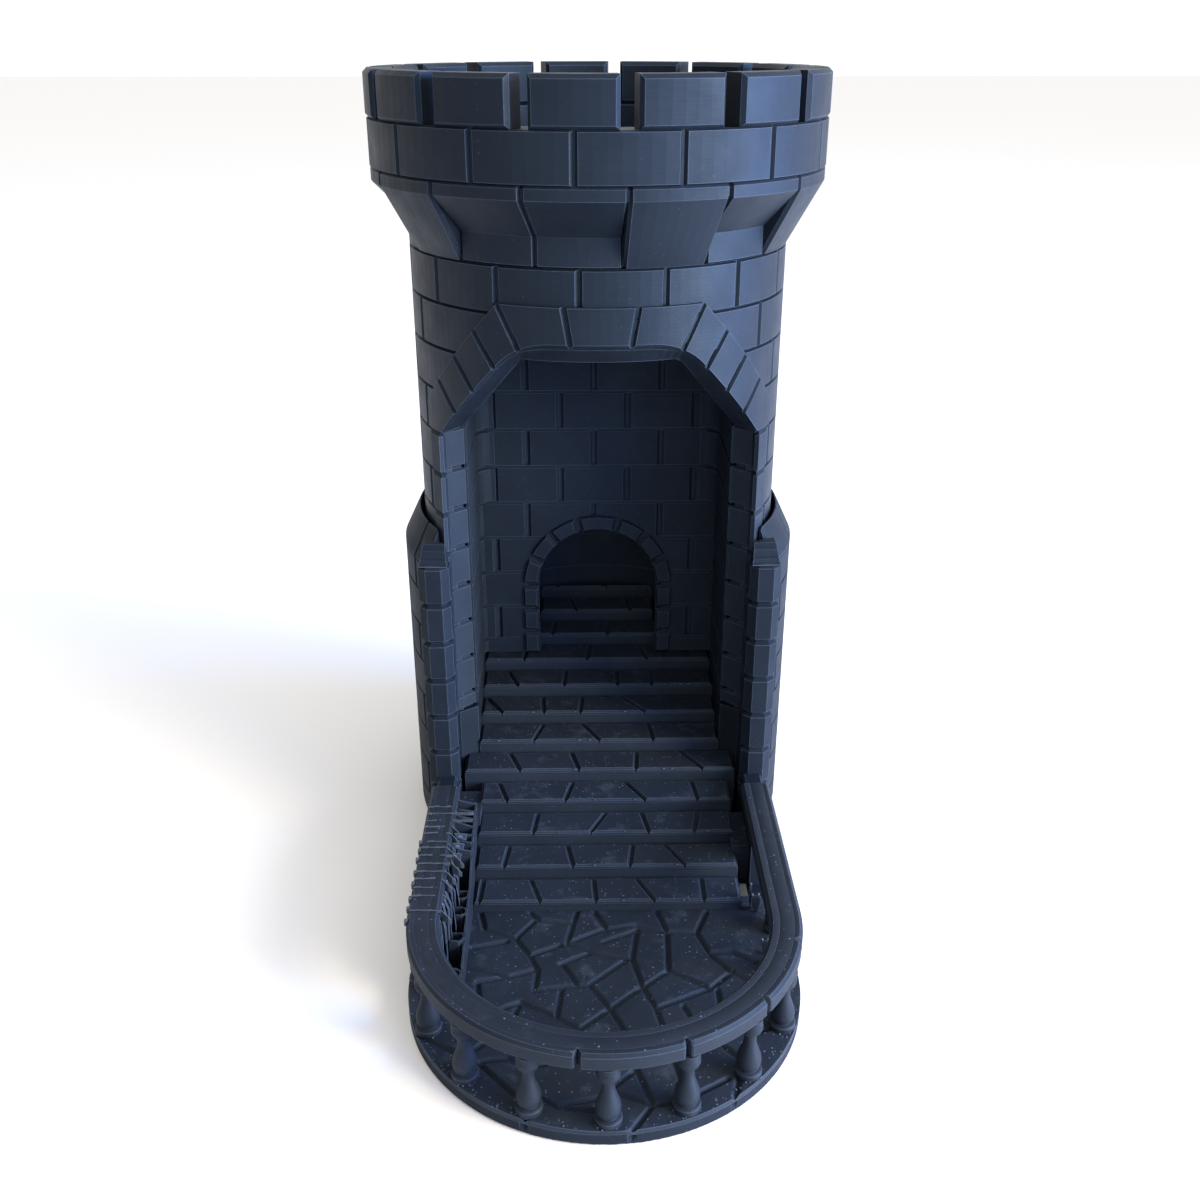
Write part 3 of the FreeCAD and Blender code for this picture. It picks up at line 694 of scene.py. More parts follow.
def door_arc(radius, start, end, count):
    return [(radius * cos(radians(a)), door_spring + radius * sin(radians(a)))
            for a in between(start, end, count)]


def door_edge(z):
    """Half width of the doorway that the bricks leave free, hidden behind the door stones."""
    above = z - door_spring
    if above < 2.0:
        return 17.5
    return sqrt(17.9 ** 2 - above ** 2) if above < 17.2 else 0.0


@piece("alcove_back_bricks", "tower", alcove_plastic, "alcove_back_wall")
def back_wall(shape):
    rows = row_lines(tower_foot, soffit)
    level, face, reach, length = 0.1, -back_wall_y, 32.9, 18.0
    narrow, wide, crown = 0.5, 1.2, door_spring + 17.2

    def add(outline, sides):
        stone(shape, on_wall, outline, face - joint_depth - embed, face, sides=sides)

    for number, (low, high) in enumerate(zip(rows, rows[1:])):
        shift = -1.0 if number % 2 == 0 else -10.0
        joints = [shift + length * n for n in range(-2, 4) if abs(shift + length * n) < 30.0]
        stops = [-reach] + joints + [reach]
        z0, z1 = low + level, high - level
        edge_low, edge_high = door_edge(low), door_edge(high)
        for a, b in zip(stops, stops[1:]):
            a, b = a + half_joint, b - half_joint
            if edge_low and not edge_high and a < edge_low and b > -edge_low:
                # the brick bends over the crown of the doorway
                middle = -edge_low if b < 0 else edge_low
                low_chain = [(a, z0 if b < 0 else crown), (middle, z0), (b, crown if b < 0 else z0)]
                add(low_chain + [(b, z1), (middle, z1), (a, z1)], [narrow, narrow, wide] * 2)
                continue
            for left, right in ((a, min(b, 0.0)), (max(a, 0.0), b)) if edge_low else ((a, b),):
                start, end = (left, left), (right, right)
                if edge_low and right <= 0.0:
                    end = min(right, -edge_low), min(right, -edge_high)
                elif edge_low:
                    start = max(left, edge_low), max(left, edge_high)
                if left < right and end[0] - start[0] >= 1.5:
                    add([(start[0], z0), (end[0], z0), (end[1], z1), (start[1], z1)], [narrow, 1.7] * 2)
    # shallow level joints
    for z in rows[1:-1]:
        x0 = max(door_edge(z - 0.4), door_edge(z + 0.4))
        for a, b in ((-reach, -x0), (x0, reach)) if x0 else ((-reach, reach),):
            box(shape, a, back_wall_y + 0.22, z - 0.4, b, back_wall_y + joint_depth + 0.1, z + 0.4)
    # the wall behind the bricks
    chord, y0, y1, top = 38.7, back_wall_y + joint_depth, back_wall_y + 3.0, 134.3
    box(shape, -chord, y0, tower_foot, -door_half, y1, top)
    box(shape, door_half, y0, tower_foot, chord, y1, top)
    arc = door_arc(door_half, 180, 0, 24)
    ring = arc + [(x, top) for x, z in arc][::-1]
    shape.strip_caps([[(x, y, z) for x, z in ring] for y in (y0, y1)])


@piece("door_stones", "tower", alcove_plastic, "doorway_stones")
def door_stones(shape):
    outer, gap = door_half + door_band, 0.4
    near, far, across = 0.9, 0.5, 1.2  # bevels beside the opening, at the band's rim and at joints

    def add(outline, sides):
        back, face = -back_wall_y - 1.0, -back_wall_y + 1.2
        stone(shape, on_wall, outline, back, face, slope=0.75, deep=1.0, sides=sides)

    legs = [tower_foot, 41.3, 48.5, door_spring]
    for low, high in zip(legs, legs[1:]):
        low, high = low + gap, high - gap
        for a, b, sides in ((door_half, outer, (across, far, across, near)),
                            (-outer, -door_half, (across, near, across, far))):
            add([(a, low), (b, low), (b, high), (a, high)], sides)
    ends = [0.0, 24.5, 49.0, 73.5, 106.5, 131.0, 155.5, 180.0]
    turn, count = degrees(gap / door_half), 4
    for start, end in zip(ends, ends[1:]):
        start, end = start + turn, end - turn
        add(door_arc(door_half, end, start, count) + door_arc(outer, start, end, count),
            [near] * count + [across] + [far] * count + [across])


# ---- base: collar, coping and pillars
pillar_far = 58.4  # bearing where the collar meets a pillar
pillar_top = corbel_foot - 7 * course
collar_facets = 80


def collar_span(start):
    """Ends of the collar's brick from a joint, cut at the pillars."""
    start %= 360
    return max(start, pillar_far), min(start + pitch, 360 - pillar_far)


@piece("collar_bricks", "base", base_plastic, "collar_wall")
def collar_bricks(shape):
    rows = row_lines(plate, coping_foot)
    for number, (low, high) in enumerate(zip(rows, rows[1:])):
        for a, b in map(collar_span, joint_bearings(number % 2 == 1)):
            if b - a > 1.5:
                brick(shape, collar_r, a, b, low, high)
    tube(shape, collar_inner_r, collar_r, plate, coping_foot, pillar_far, 360 - pillar_far, collar_facets)


@piece("collar_coping_stones", "base", base_plastic, "collar_coping")
def coping_stones(shape):
    """Sloping top course, its stones divided over the joints of the row below."""

    def profile(back):
        r, top = collar_r - back, collar_top - back
        return [(collar_inner_r, coping_foot), (r, coping_foot), (r, coping_foot + 0.5),
                (collar_inner_r + 0.35, top), (collar_inner_r, top)]

    sector(shape, profile(joint_depth), pillar_far, 360 - pillar_far, collar_facets)
    for a, b in map(collar_span, joint_bearings(True)):
        if b - a >= 1.5:
            turned_stone(shape, profile, a, b, collar_r)


@pair("pillar_stones", "base", base_plastic, "pillar")
def pillar_stones(shape):
    """Square stones of the right front pillar, with a rough sloping cap."""
    rows = row_lines(plate, pillar_top)
    (x0, y0, _), (x1, _, _) = cad("right_pillar")
    x1 += 1.1
    corner, deep = 1.9, 0.9
    outline = [(x0 + corner, y0), (x1 - corner, y0), (x1, y0 + corner), (x1, -25.6), (41.0, -24.4),
               (x0, -28.0), (x0, y0 + corner)]
    for low, high in zip(rows, rows[1:]):
        layered(shape, outline, low, high, [deep, deep, deep, 0.0, 0.0, deep, deep], 0.85)
    draw = random.Random(21)
    rings = []
    for t in between(0, 1, 7):
        front_y = mix(y0 + 0.6, -28.6, t) + draw.uniform(-0.25, 0.25)
        side = 0.35 + 0.9 * t + draw.uniform(-0.12, 0.12)
        cap = [(x0 + side, front_y), (x1 - side, front_y + 0.4), (x1 - side, -24.6), (x0 + side, -27.8)]
        rings.append(at_height(cap, mix(pillar_top - 0.2, pillar_top + 4.0, t)))
    shape.loft(rings)


# ---- base: stairs
rise, tread, first_riser_y = 3.33, 9.44, -66.9
slab, steps_end = 0.9, 38.0
# joints across each tread from the lowest step up, as x at the riser behind and x at the nosing
tread_joints = (
    ((-29, -29.5), (-17.5, -15), (-2, -1.5), (8.5, 12.5), (24.5, 24.5)),
    ((-23, -24), (-8.5, -7), (8, 7), (16, 20.5), (31, 30)),
    ((-31, -29), (-16, -17), (1.5, -2.5), (10.5, 12), (25, 23.5)),
    ((-26.5, -24), (-7, -9), (6.5, 11.5), (24, 25)), ((-24, -21), (-7.5, -5.5), (10, 9.5), (22, 27)),
    ((-15, -17.5), (-4.5, 0), (13.5, 14.5)), ((-31, -26.5), (-15.5, -15), (-4.5, -5), (6.5, 12.5)),
    ((-25.5, -22.5), (-9, -9.5), (5.5, 5.5), (15.5, 15)), ((-20, -21), (-2, -3), (12, 14)),
    ((-12, -13), (4, 3)), ((-8, -6), (9, 10)), ((-11, -12), (2, 3)),
)


def step_ends(number):
    """Nosing of a step, and its half widths on the left and the right."""
    y = first_riser_y + number * tread
    if y > 20.0:
        return y, 16.6, 16.6
    if y > 12.0:
        return y, 30.0, 30.0
    if y > -22.0:
        return y, 32.1, 32.1
    return (y, 35.5, 35.5) if y > -38.2 else (y, 31.0, 33.6)


@piece("stair_body", "base", paving_plastic, "stair_flight")
def stair_flight(shape):
    for number in range(len(tread_joints)):
        y, left, right = step_ends(number)
        y += 0.35
        end = min(y + tread + 0.5, steps_end)
        box(shape, -left, y, plate - 0.5, right, end, floor + (number + 1) * rise - slab + 0.1)
    # the ground between the stairs and the side walls rises with them
    box(shape, 32.5, -52.5, plate - 0.5, 36.9, -38.0, 12.5)
    box(shape, -36.9, -44.6, plate - 0.5, -30.5, -33.0, 16.3)


@piece("tread_slabs", "base", paving_plastic, "stair_treads")
def tread_slabs(shape):
    """Slabs of each tread: bevelled along the nosing and beside the slanted joints."""
    draw = random.Random(8)
    half = 0.3
    for number, joints in enumerate(tread_joints):
        y0, left, right = step_ends(number)
        y1 = min(y0 + tread - 0.9, steps_end)
        top = floor + (number + 1) * rise
        inside = [joint for joint in joints if max(map(abs, joint)) < left - 1]
        ends = [(-left, -left)] + inside + [(right, right)]
        for (back_a, front_a), (back_b, front_b) in zip(ends, ends[1:]):
            outline = [(front_a + half, y0), (front_b - half, y0), (back_b - half, y1), (back_a + half, y1)]
            face = top + draw.uniform(-0.05, 0.05)
            stone(shape, lambda u, v, w: (u, v, w), outline, top - slab - 0.2, face, slope=0.45, deep=0.5,
                  sides=(0.9, 1.1, 1.0, 1.1))


# ---- base: balcony floor
# joints of the irregular paving, each a chain of (x, y) points
paving = (
    ((-29.5, -66), (-28, -73), (-20.5, -76.5)), ((-20.5, -76.5), (-16.5, -70.5)),
    ((-20.5, -76.5), (-17, -82.5), (-15, -87.5), (-15.5, -94)), ((-17.5, -67), (-15, -70), (-7, -71)),
    ((-6, -66.5), (-7, -71), (-8.5, -78.5)), ((-8.5, -78.5), (0, -73.5), (8, -72)), ((-2, -67), (1, -73.5)),
    ((-17, -82.5), (-10, -79)), ((-8.5, -78.5), (-1.5, -82), (5.5, -84)), ((-10, -85.5), (-3.5, -82)),
    ((-9.5, -85.5), (-6, -92.5), (-3.5, -92.5)), ((-3.5, -92.5), (5, -84.5)),
    ((-3.5, -92.5), (1, -100), (4.5, -108)), ((-15.5, -94), (-6, -92.5)), ((-9.5, -93.5), (-10.5, -102.5)),
    ((-18.5, -97.5), (-10.5, -102.5), (-5.5, -106)), ((-5.5, -106), (1, -100), (8, -93.5)),
    ((-24, -100.5), (-18.5, -97.5), (-20.5, -104.5)), ((-34, -85), (-31, -86), (-21.5, -89.5), (-16, -87.5)),
    ((-21.5, -89.5), (-28.5, -91), (-27.5, -97.5)), ((-30.5, -79.5), (-22.5, -77.5)),
    ((8, -74), (6.5, -84), (8.5, -93.5), (11, -100)), ((8, -74), (0, -78)), ((8, -72), (14, -74.5)),
    ((13, -67), (15, -74.5), (14.5, -88)), ((15, -74.5), (22, -75)), ((25, -67.5), (22, -75), (24.5, -83)),
    ((24.5, -82), (29.5, -82), (34.5, -85.5)), ((24.5, -83), (28.5, -88.5), (33, -92)),
    ((8.5, -93.5), (14.5, -88), (23.5, -94), (29, -88.5)), ((11, -100), (23.5, -94)),
    ((25, -94.5), (25, -101.5), (33, -107), (41, -104.6)),
    ((17, -99.5), (19, -105), (28, -115.5), (25.4, -125.5)),
    ((-28.5, -112.5), (-29.5, -113.5), (-26, -116), (-19, -123.5)),
    ((-28.5, -112.5), (-24.5, -108.5), (-20.5, -104.5)),
    ((-26, -115), (-20.5, -114), (-16, -117), (-12, -115.5), (-5.5, -106)),
    ((-16.5, -130.4), (-13.5, -125), (-10, -127), (-1.5, -128.5)), ((-10, -127), (-1.5, -125)),
    ((6, -117.5), (9, -127), (4.6, -133.4)), ((4.5, -108), (6, -117.5), (0.5, -123)),
    ((0.5, -123), (9, -127), (13.5, -126.5)), ((11, -100), (14, -115.5), (15.5, -124.5)),
    ((18.5, -124), (24.5, -120.5)), ((-40, -107), (-29.5, -113.5)),
)
rim_notches = (-22.2, 6.1, 35.6, 66.5)


def notch_depth(bearing, notches, half_width):
    """How far into a V notch a bearing lies, from 0 beside it to 1 in its middle."""
    return max([0.0] + [1.0 - abs(bearing - notch) / half_width for notch in notches])


@piece("balcony_paving", "base", paving_plastic, "flagstones", smooth=50)
def balcony_floor(shape):
    """Paving as one relief: the joints are V grooves, and the stones are faintly uneven."""
    columns, rows = 350, 270
    depth, width = 0.8, 0.7
    front_y, back_y = balcony_y - balcony_r, -61.5
    grid_y = front_y + (back_y - front_y) * np.linspace(0, 1, rows + 1) ** 1.25
    reach = np.sqrt(np.maximum(0.02, balcony_r ** 2 - np.minimum(grid_y - balcony_y, 0) ** 2))
    xs = reach[:, None] * np.linspace(-1, 1, columns + 1)
    ys = np.repeat(grid_y[:, None], columns + 1, axis=1)
    near = np.full(xs.shape, 99.0)
    for chain in paving:
        for (ax, ay), (bx, by) in zip(chain, chain[1:]):
            dx, dy = bx - ax, by - ay
            t = np.clip(((xs - ax) * dx + (ys - ay) * dy) / (dx * dx + dy * dy), 0, 1)
            near = np.minimum(near, np.hypot(xs - ax - t * dx, ys - ay - t * dy))
    zs = floor - depth * np.clip(1.15 - near / width, 0, 1)
    zs += 0.03 * np.sin(xs * 0.9 + 2.0) * np.cos(ys * 0.7) + 0.005 * np.sin(xs * 3.1 - ys * 2.3)
    shape.points = [tuple(map(float, point)) for point in zip(xs.ravel(), ys.ravel(), zs.ravel())]
    n, start = columns + 1, len(shape.points)
    shape.faces = [(a, a + 1, a + n + 1, a + n) for j in range(rows) for a in range(j * n, j * n + columns)]
    edge = list(range(n)) + [j * n + columns for j in range(1, rows + 1)]
    edge += [rows * n + i for i in range(columns - 1, -1, -1)] + [j * n for j in range(rows - 1, 0, -1)]
    count = len(edge)
    shape.points += [(*shape.points[i][:2], plate - 0.3) for i in edge]
    following = [(i + 1) % count for i in range(count)]
    shape.faces += [(edge[j], edge[i], start + i, start + j) for i, j in enumerate(following)]
    shape.faces.append(tuple(start + i for i in range(count))[::-1])


@piece("plate_rim", "base", base_plastic, "base_plate")
def plate_rim(shape):
    """Base plate with a stepped rim, V notches and a rough lower edge, and the disc under the collar."""
    slot_x0, slot_y0, slot_x1, slot_y1 = 33.9, -60.5, 36.7, -51.5
    side_ys = (-85, -80, -75, -70, -66, slot_y0)
    outline = [(*around(balcony_r, bearing, balcony_y), bearing) for bearing in between(-90, 90, 260)]
    outline += [(balcony_r, y, 90) for y in side_ys] + [(-balcony_r, y, -90) for y in side_ys[::-1]]
    draw = random.Random(3)
    rings = []
    for z, inwards in ((0.0, 1.1), (0.25, 0.35), (0.5, 0.05), (1.5, 0.0), (2.6, 0.0), (plate, 0.0)):
        ring = []
        for x, y, bearing in outline:
            rough = draw.uniform(0, 0.5) if z < 0.4 else 0.0
            cut = notch_depth(bearing, rim_notches, 1.1) if z > 0.9 else 0.0
            inset_here = inwards * 0.35 + rough * inwards + 1.3 * cut * min(1.0, z / plate)
            scale = 1 - inset_here / hypot(x, min(0.0, y - balcony_y))
            ring.append((x * scale, balcony_y + (y - balcony_y) * scale if y < balcony_y else y, z))
        rings.append(ring)
    shape.loft(rings)
    for x0, y0, x1, y1 in ((-balcony_r, slot_y0, slot_x0, slot_y1), (slot_x1, slot_y0, balcony_r, slot_y1),
                           (-balcony_r, slot_y1, balcony_r, -20.0)):
        box(shape, x0, y0, 0.0, x1, y1, plate)
    for x0, y0, x1, y1 in ((-balcony_r, slot_y0, -31.5, -36.0), (slot_x1, slot_y0, balcony_r, -40.0)):
        box(shape, x0, y0, plate - 0.2, x1, y1, floor)
    disc = [(0.01, 0.0), (collar_r - 0.4, 0.0), (collar_r, 0.5), (collar_r, plate), (0.01, plate)]
    sector(shape, disc, 0, 360, 120)


# ---- base: rail and balusters
rail_inner_r = 35.9
rail_notches = (-8.1, 21.0, 48.8, 76.0)


@piece("rail", "base", rail_plastic, "balcony_rail", smooth=28)
def rail_bar(shape):
    """Rail swept along both sides and round the end. Stones meet at V notches on its outer face."""
    width = rail_r - rail_inner_r
    # distance from the inner edge, depth below the top
    top = [(0.0, 0.8), (0.75, 0.06), (2.05, 0.0), (2.2, 0.07), (2.4, 0.0), (5.2, 0.0), (5.35, 0.05),
           (5.5, 0.0), (width - 0.7, 0.05), (width, 0.75)]
    section = [(0.0, rail_foot + 0.4)] + [(offset, rail_top - depth) for offset, depth in top]
    section += [(width, rail_foot + 0.4), (width - 0.4, rail_foot), (0.4, rail_foot)]
    side = between(rail_high[1], balcony_y, 150)
    stations = [(-90, y) for y in side] + [(bearing, balcony_y) for bearing in between(-90, 90, 420)[1:-1]]
    stations += [(90, y) for y in side[::-1]]
    rings = []
    for bearing, centre_y in stations:
        cut = 1.4 * notch_depth(bearing, rail_notches, 1.0)
        ring = [(offset - (cut if offset > width - 1.0 else 0.0), z) for offset, z in section]
        rings.append([(*around(rail_inner_r + offset, bearing, centre_y), z) for offset, z in ring])
    shape.loft(rings)


def baluster_spots():
    line, step = 40.7, 22.5  # distance from the balcony's centre, bearing between two
    y = balcony_y + line * radians(step)
    return [around(line, step * i, balcony_y) for i in range(-4, 5)] + [(-line, y), (line, y)]


@piece("turned_balusters", "base", rail_plastic, "balusters", smooth=40)
def balusters(shape):
    profile = [(0.01, 0), (2.75, 0), (2.85, 0.5), (2.8, 1.3), (2.5, 1.6), (2.05, 1.75), (2.0, 1.95),
               (2.3, 2.3), (2.5, 3.1), (2.55, 3.9), (2.4, 5.0), (2.0, 6.2), (1.6, 7.3), (1.32, 8.4),
               (1.25, 9.4), (1.35, 10.3), (1.7, 11.0), (2.2, 11.5), (2.4, 12.0), (2.45, 12.8), (2.3, 13.2),
               (2.3, 14.7), (0.01, 14.7)]
    corners = [(cos(a), sin(a)) for a in between(0, 2 * pi, 40)[:-1]]
    for x, y in baluster_spots():
        shape.loft([[(x + r * c, y + r * s, floor - 0.1 + z) for c, s in corners] for r, z in profile])


@pair("curb", "base", base_plastic, "curb_wall")
def curb(shape):
    """Solid wall under the right rail beside the steps."""
    box(shape, rail_inner_r + 0.8, -57.0, plate - 0.3, rail_r - 0.8, -33.2, rail_foot + 0.1)


@pair("newel_block", "base", base_plastic, "newel")
def newel(shape):
    (x0, y0, _), (x1, y1, top) = cad("right_newel")
    outline = [(x0, y0), (x1, y0), (x1, y1 + 0.3), (x0, y1 + 0.3)]
    small = inset(outline, [0.4, 0.4, 0.0, 0.4])
    shape.loft([at_height(outline, rail_foot - 0.2), at_height(outline, top - 0.4), at_height(small, top)])


# ---- base: print supports left standing
support_foot = floor - 0.1


def fin(shape, a, b, thick, top_a, top_b, foot=support_foot):
    """Thin upright wall between two plan points, with its own top height at each end."""
    (ax, ay), (bx, by) = a, b
    length = hypot(bx - ax, by - ay)
    nx, ny = (ay - by) / length * thick / 2, (bx - ax) / length * thick / 2
    plan = [(ax + nx, ay + ny), (bx + nx, by + ny), (bx - nx, by - ny), (ax - nx, ay - ny)]
    shape.loft([at_height(plan, foot), [(*p, top) for p, top in zip(plan, (top_a, top_b, top_b, top_a))]])


@piece("support_walls", "base", rail_plastic)
def support_walls(shape):
    """Folded thin wall between the left rail and the stairs, and the long wall it hangs on."""
    draw = random.Random(31)
    wall_x, thick = -31.35, 0.42
    tops = ((-44.5, 20.3), (-51.0, 19.6), (-57.0, 18.8), (-62.0, 17.0), (-70.0, 13.4), (-79.0, 12.6),
            (-86.0, 11.6), (-93.0, 9.8), (-97.0, 7.0))
    for (y0, z0), (y1, z1) in zip(tops, tops[1:]):
        fin(shape, (wall_x, y0), (wall_x + draw.uniform(-0.15, 0.15), y1), thick, z0, z1)
    # straight cells beside the upper steps
    first_cell, cells_end, cell = -44.9, -62.5, 2.9
    y = first_cell
    while y > cells_end:
        skew = draw.uniform(-0.35, 0.35)
        top = mix(20.3, 18.6, (first_cell - y) / 17)
        fin(shape, (wall_x, y), (-36.6, y + skew), thick, top, top + draw.uniform(0.8, 2.0))
        y -= cell
    fin(shape, (-34.4, -60.5), (-34.1, -73.5), thick, 20.0, 15.5)
    # rounded cells further down, open towards the rail
    for y, top in ((-70.6, 13.2), (-76.2, 12.8), (-84.4, 12.2), (-93.4, 9.6)):
        turn = (-35.2, 0), (-32.6, 0), (-31.7, 0.5), (-31.5, 1.4), (-31.7, 2.3), (-32.6, 2.8), (-34.6, 2.8)
        bend = [(x, y - back) for x, back in turn]
        for a, b in zip(bend, bend[1:]):
            fin(shape, a, b, thick, top, top + draw.uniform(-0.2, 0.2))
    # bent flaps and long slanted fins beside the rail
    for x, y, z in ((-35.5, -59.6, 21.6), (-35.9, -63.0, 21.2), (-36.3, -66.2, 20.6)):
        flap = [(x, y, z), (x + 3.0, y + 1.0, z - 0.9), (x + 2.8, y - 0.6, z - 1.5),
                (x + 0.6, y - 1.0, z - 0.4)]
        shape.loft([flap, [(a, b, c + 0.2) for a, b, c in flap]])
    for x0, y0, x1, y1, top in ((-35.4, -69.5, -33.2, -76.0, 14.5), (-35.7, -73.0, -33.5, -82.5, 13.0),
                                (-35.9, -76.0, -34.0, -86.5, 12.5), (-36.1, -81.5, -34.6, -91.5, 11.5),
                                (-36.2, -84.0, -35.2, -94.0, 10.5)):
        fin(shape, (x0, y0), (x1, y1), 0.2, rail_top - 0.4, top)
    # upright strips under the rail's inner edge
    for y, lean in ((-66.8, 0.5), (-70.4, 1.9), (-72.6, 1.5), (-75.2, 1.6), (-77.4, 1.2), (-80.6, 1.3),
                    (-83.2, 1.0), (-86.2, 1.2), (-88.6, 0.8), (-92.5, 0.4), (-95.5, 0.3)):
        fin(shape, (-35.7, y), (-35.7 + lean, y - 0.9), 0.5, rail_top - 0.2 - draw.uniform(0, 2.5),
            rail_top - 3.5 - draw.uniform(0, 2.0))


@piece("support_edges", "base", stretched_plastic)
def support_edges(shape):
    """Pale frayed edges: ridges across the rail, and the torn outline of its left side."""
    draw = random.Random(12)
    ridges = ((-49.2, -37.2), (-52.1, -31.3), (-55.1, -31.2), (-57.8, -36.0), (-60.4, -36.4), (-63.8, -37.0),
              (-66.2, -36.6), (-69.3, -34.6), (-72.5, -34.8), (-75.4, -36.0), (-78.2, -36.6), (-81.3, -37.6),
              (-84.3, -37.6), (-87.8, -38.4), (-89.5, -35.6))
    kept, wobble = 0.86, 0.12  # share of a ridge left standing, its unevenness
    height, hang = rail_top + 0.05, rail_top - 2.6
    for y, inner_x in ridges:
        x = -rail_r + 0.3
        while x < inner_x:
            step = draw.uniform(0.7, 2.2)
            if draw.random() < kept:
                high = draw.uniform(0.12, 0.6)
                a = x, y + draw.uniform(-wobble, wobble)
                b = min(x + step, inner_x), y + draw.uniform(-wobble, wobble)
                fin(shape, a, b, 0.16, height + high * 0.4, height + high * 0.7, rail_top - 0.5)
            x += step
        if inner_x < -34:
            knee = inner_x + 1.6, y - 1.3
            fin(shape, (inner_x, y), knee, 0.18, height, height - 0.8, hang)
            fin(shape, knee, (inner_x + 2.3, y - 1.4), 0.18, height - 0.9, height - 1.6, hang)
    for y in (-63.5, -66.6, -70.2, -75.0, -79.4, -84.5, -88.0, -92.2):
        lip, far = draw.uniform(0.25, 0.5), y + draw.uniform(0.1, 0.6)
        box(shape, -rail_r - lip, y - 0.7, rail_top - 1.4, -rail_r + 0.4, far, rail_top - 0.1)


def blob(shape, x, y, z, r):
    """Small rounded drop of plastic."""
    rings = []
    for polar in between(0, pi, 6)[1:-1]:
        ring_r = r * sin(polar)
        rings.append([(x + ring_r * cos(a), y + ring_r * sin(a), z + r * cos(polar))
                      for a in between(0, 2 * pi, 10)[:-1]])
    shape.loft(rings)


@piece("support_stubs", "base", base_plastic)
def support_stubs(shape):
    """Pointed remains of supports beside the lowest steps on the right."""
    for x, y, top, reach in ((36.7, -67.8, 9.2, 1.1), (37.0, -82.9, 8.2, 0.9)):
        section = ((0.35, support_foot), (0.6, floor + 0.6), (reach, top - 2.2), (reach, top - 0.6),
                   (reach * 0.7, top))
        shape.loft([[(x + i * r, y + j * r * 0.6, z) for i, j in ((-1, -1), (1, -1), (1, 1), (-1, 1))]
                    for r, z in section])
    fin(shape, (35.4, -66.4), (35.8, -66.4), 0.3, 10.8, 11.4)
    fin(shape, (33.3, -66.6), (37.4, -66.2), 0.3, floor + 0.5, floor + 0.5)


@piece("crumbs", "base", stretched_plastic, smooth=40)
def crumbs(shape):
    """Chips and drops on the nosings, the paving, the plate and the rail."""
    draw = random.Random(77)
    for number in range(9):
        y, left, right = step_ends(number)
        z = floor + (number + 1) * rise
        for _ in range(3):
            x = draw.uniform(-left + 2, right - 2)
            length = draw.uniform(0.2, 0.9)
            box(shape, x, y - 0.1, z - 0.3, x + length, y + draw.uniform(0.05, 0.25), z + 0.02)
        for _ in range(9):
            blob(shape, draw.uniform(-left + 1, right - 1), y + draw.uniform(0.6, 8.0), z - 0.03,
                 draw.uniform(0.05, 0.12))

    def scatter(count, widest, distance, z, smallest, largest):
        for _ in range(count):
            bearing, r = draw.uniform(-widest, widest), distance()
            blob(shape, *around(r, bearing, balcony_y), z, draw.uniform(smallest, largest))

    scatter(170, degrees(1.6), lambda: 35.0 * sqrt(draw.random()), floor - 0.03, 0.05, 0.13)
    scatter(70, 100, lambda: draw.uniform(36.4, 42.4), rail_top - 0.03, 0.05, 0.13)
    scatter(60, 75, lambda: draw.uniform(41.6, 43.2), floor, 0.08, 0.24)
    for x, y in baluster_spots():
        for _ in range(6):
            angle = draw.uniform(0, 2 * pi)
            blob(shape, x + 2.9 * cos(angle), y + 2.9 * sin(angle), floor + 0.05, draw.uniform(0.1, 0.26))
    for x, y, z, r in ((35.8, -68.1, 9.3, 0.38), (37.3, -67.8, 9.2, 0.34), (36.2, -83.2, 8.3, 0.34),
                       (37.5, -83.0, 8.2, 0.3), (35.6, -66.4, 11.2, 0.3)):
        blob(shape, x, y, z, r)


# ---- CAD nodes that stay
# the hopper ramp gets the near-black plastic, painted shade for the dark inside of the tower
for node, material in (("tower_seat", base_plastic), ("hopper_ramp", shaft_painted_shade_plastic)):
    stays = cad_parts[node].data
    stays.materials.clear()
    stays.materials.append(material)

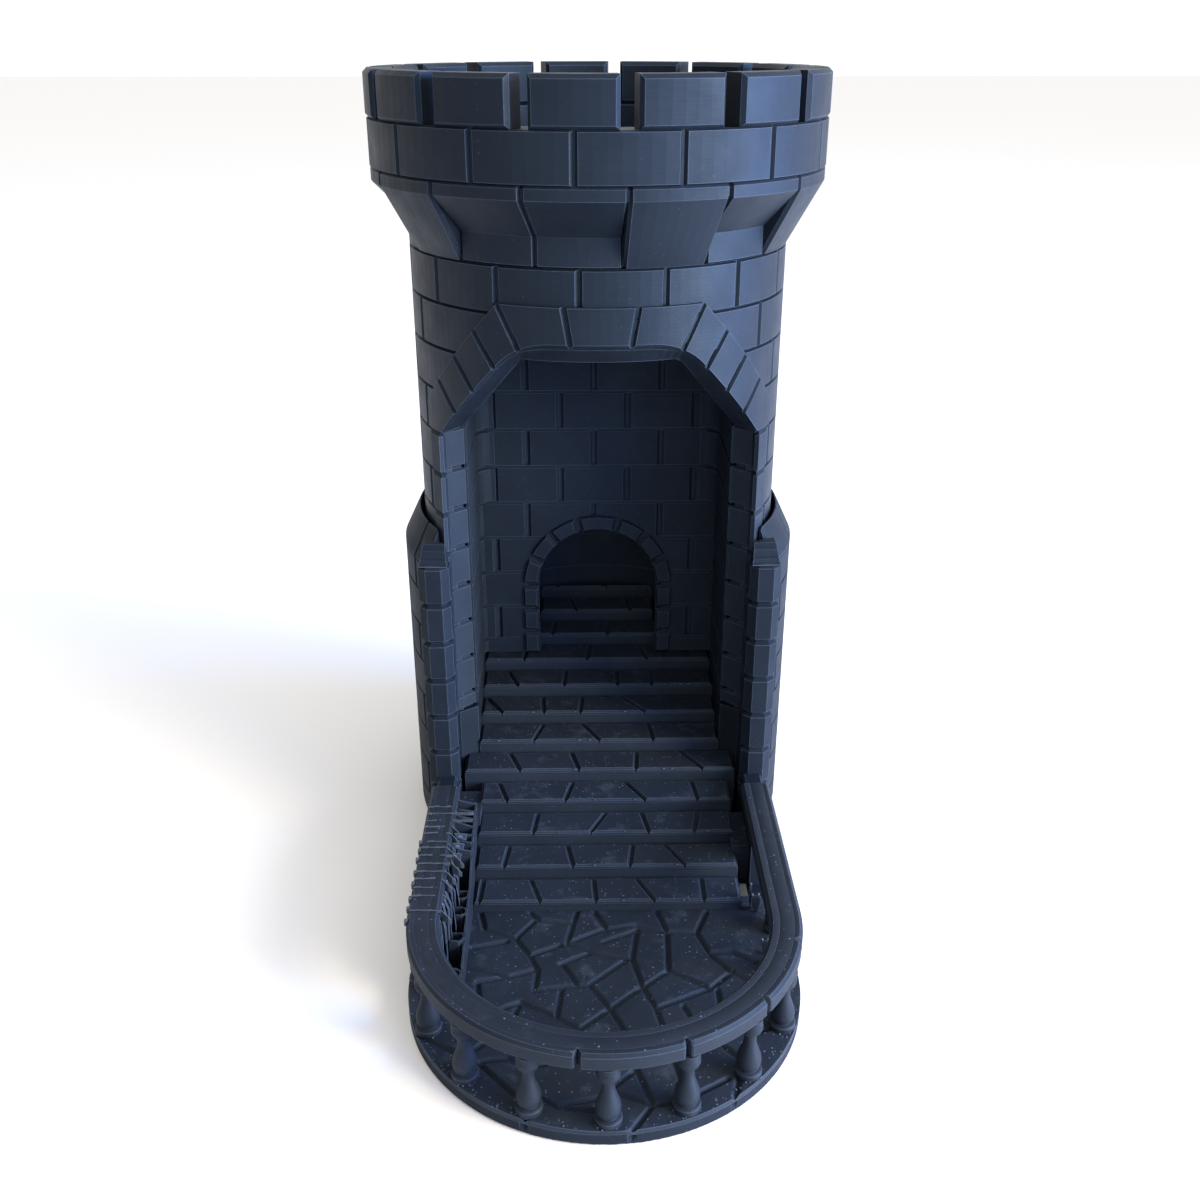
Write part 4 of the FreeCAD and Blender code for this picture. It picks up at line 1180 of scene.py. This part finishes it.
# ---- stage, lights and camera
def stage_floor():
    """Plain floor, painted a shade deeper in front of the object, where the lamps are brightest, to offset
    their pool of light.
    """
    mesh = bpy.data.meshes.new("stage_floor")
    reach, pale, deeper = 6.0, 0.92, 0.38
    mesh.from_pydata([(-reach, -reach, 0), (reach, -reach, 0), (reach, reach, 0), (-reach, reach, 0)], [],
                     [(0, 1, 2, 3)])
    paint = bpy.data.materials.new("stage_floor")
    paint.use_nodes = True
    tree = Tree(paint.node_tree)
    y = tree.add("SeparateXYZ", {0: tree.add("TexCoord", output="Object")}, "Y")
    shade = tree.add("ValToRGB", {0: tree.scaled(y, -1.0, 0.0)})
    stops = shade.node.color_ramp.elements
    stops[0].position, stops[1].position = 0.1, 0.5
    stops.new(0.79)
    stops.new(0.85)
    # the deeper grey is painted shade that offsets the lamps' pool of light in front of the object
    for stop, grey in zip(stops, (pale, deeper, deeper, pale)):
        stop.color = (grey, grey, grey, 1)
    tree.fill(paint.node_tree.nodes["Principled BSDF"], {"Roughness": 0.8, "Base Color": shade})
    mesh.materials.append(paint)
    made = bpy.data.objects.new("stage_floor", mesh)
    bpy.context.scene.collection.objects.link(made)


def area_light(name, place, power, colour):
    data = bpy.data.lights.new(name, "AREA")
    data.shape = "DISK"
    data.size, data.energy, data.color = 0.7, power, colour
    made = bpy.data.objects.new(name, data)
    made.location = place
    made.rotation_mode = "QUATERNION"
    made.rotation_quaternion = (Vector((0.0, -0.03, 0.09)) - Vector(place)).to_track_quat("-Z", "Y")
    bpy.context.scene.collection.objects.link(made)


stage_floor()
area_light("window", (1.017, -0.617, 0.339), 36.0, (1.0, 0.85, 0.52))
area_light("side_window", (1.148, -0.274, 0.339), 33.0, (0.16, 0.40, 1.0))
area_light("front_window", (0.815, -0.874, 0.339), 9.0, (0.10, 0.32, 1.0))

# a white room, darker and warmer on the left
bpy.context.scene.world = bpy.data.worlds.new("studio")
bpy.context.scene.world.use_nodes = True
room = Tree(bpy.context.scene.world.node_tree)
facing = {0: room.add("TexCoord", output="Generated"), 1: (-1.0, -0.1, 0.0)}
leftness = room.add("VectorMath", facing, "Value", operation="DOT_PRODUCT")
sky = room.blend(room.scaled(leftness, 0.36, 0.85), (1.1, 1.1, 1.1, 1.0), (0.60, 0.48, 0.36, 1.0))
room.fill(room.tree.nodes["Background"], {"Color": sky, "Strength": 1.0})
bpy.context.scene.view_settings.view_transform = "Standard"

camera_data = bpy.data.cameras.new("camera")
camera = bpy.data.objects.new("camera", camera_data)
bpy.context.scene.collection.objects.link(camera)
yaw, down = radians(0.938), radians(24.37)
forward = Vector((sin(yaw) * cos(down), cos(yaw) * cos(down), -sin(down)))
right = Vector((cos(yaw), -sin(yaw), 0))
aim = Matrix((right, right.cross(forward), -forward)).transposed()
camera.matrix_world = Matrix.Translation((-0.0046, -0.3127, 0.1977)) @ aim.to_4x4()
camera_data.lens, camera_data.sensor_width = 37.80, 36.0
camera_data.clip_start = 0.01
bpy.context.scene.camera = camera
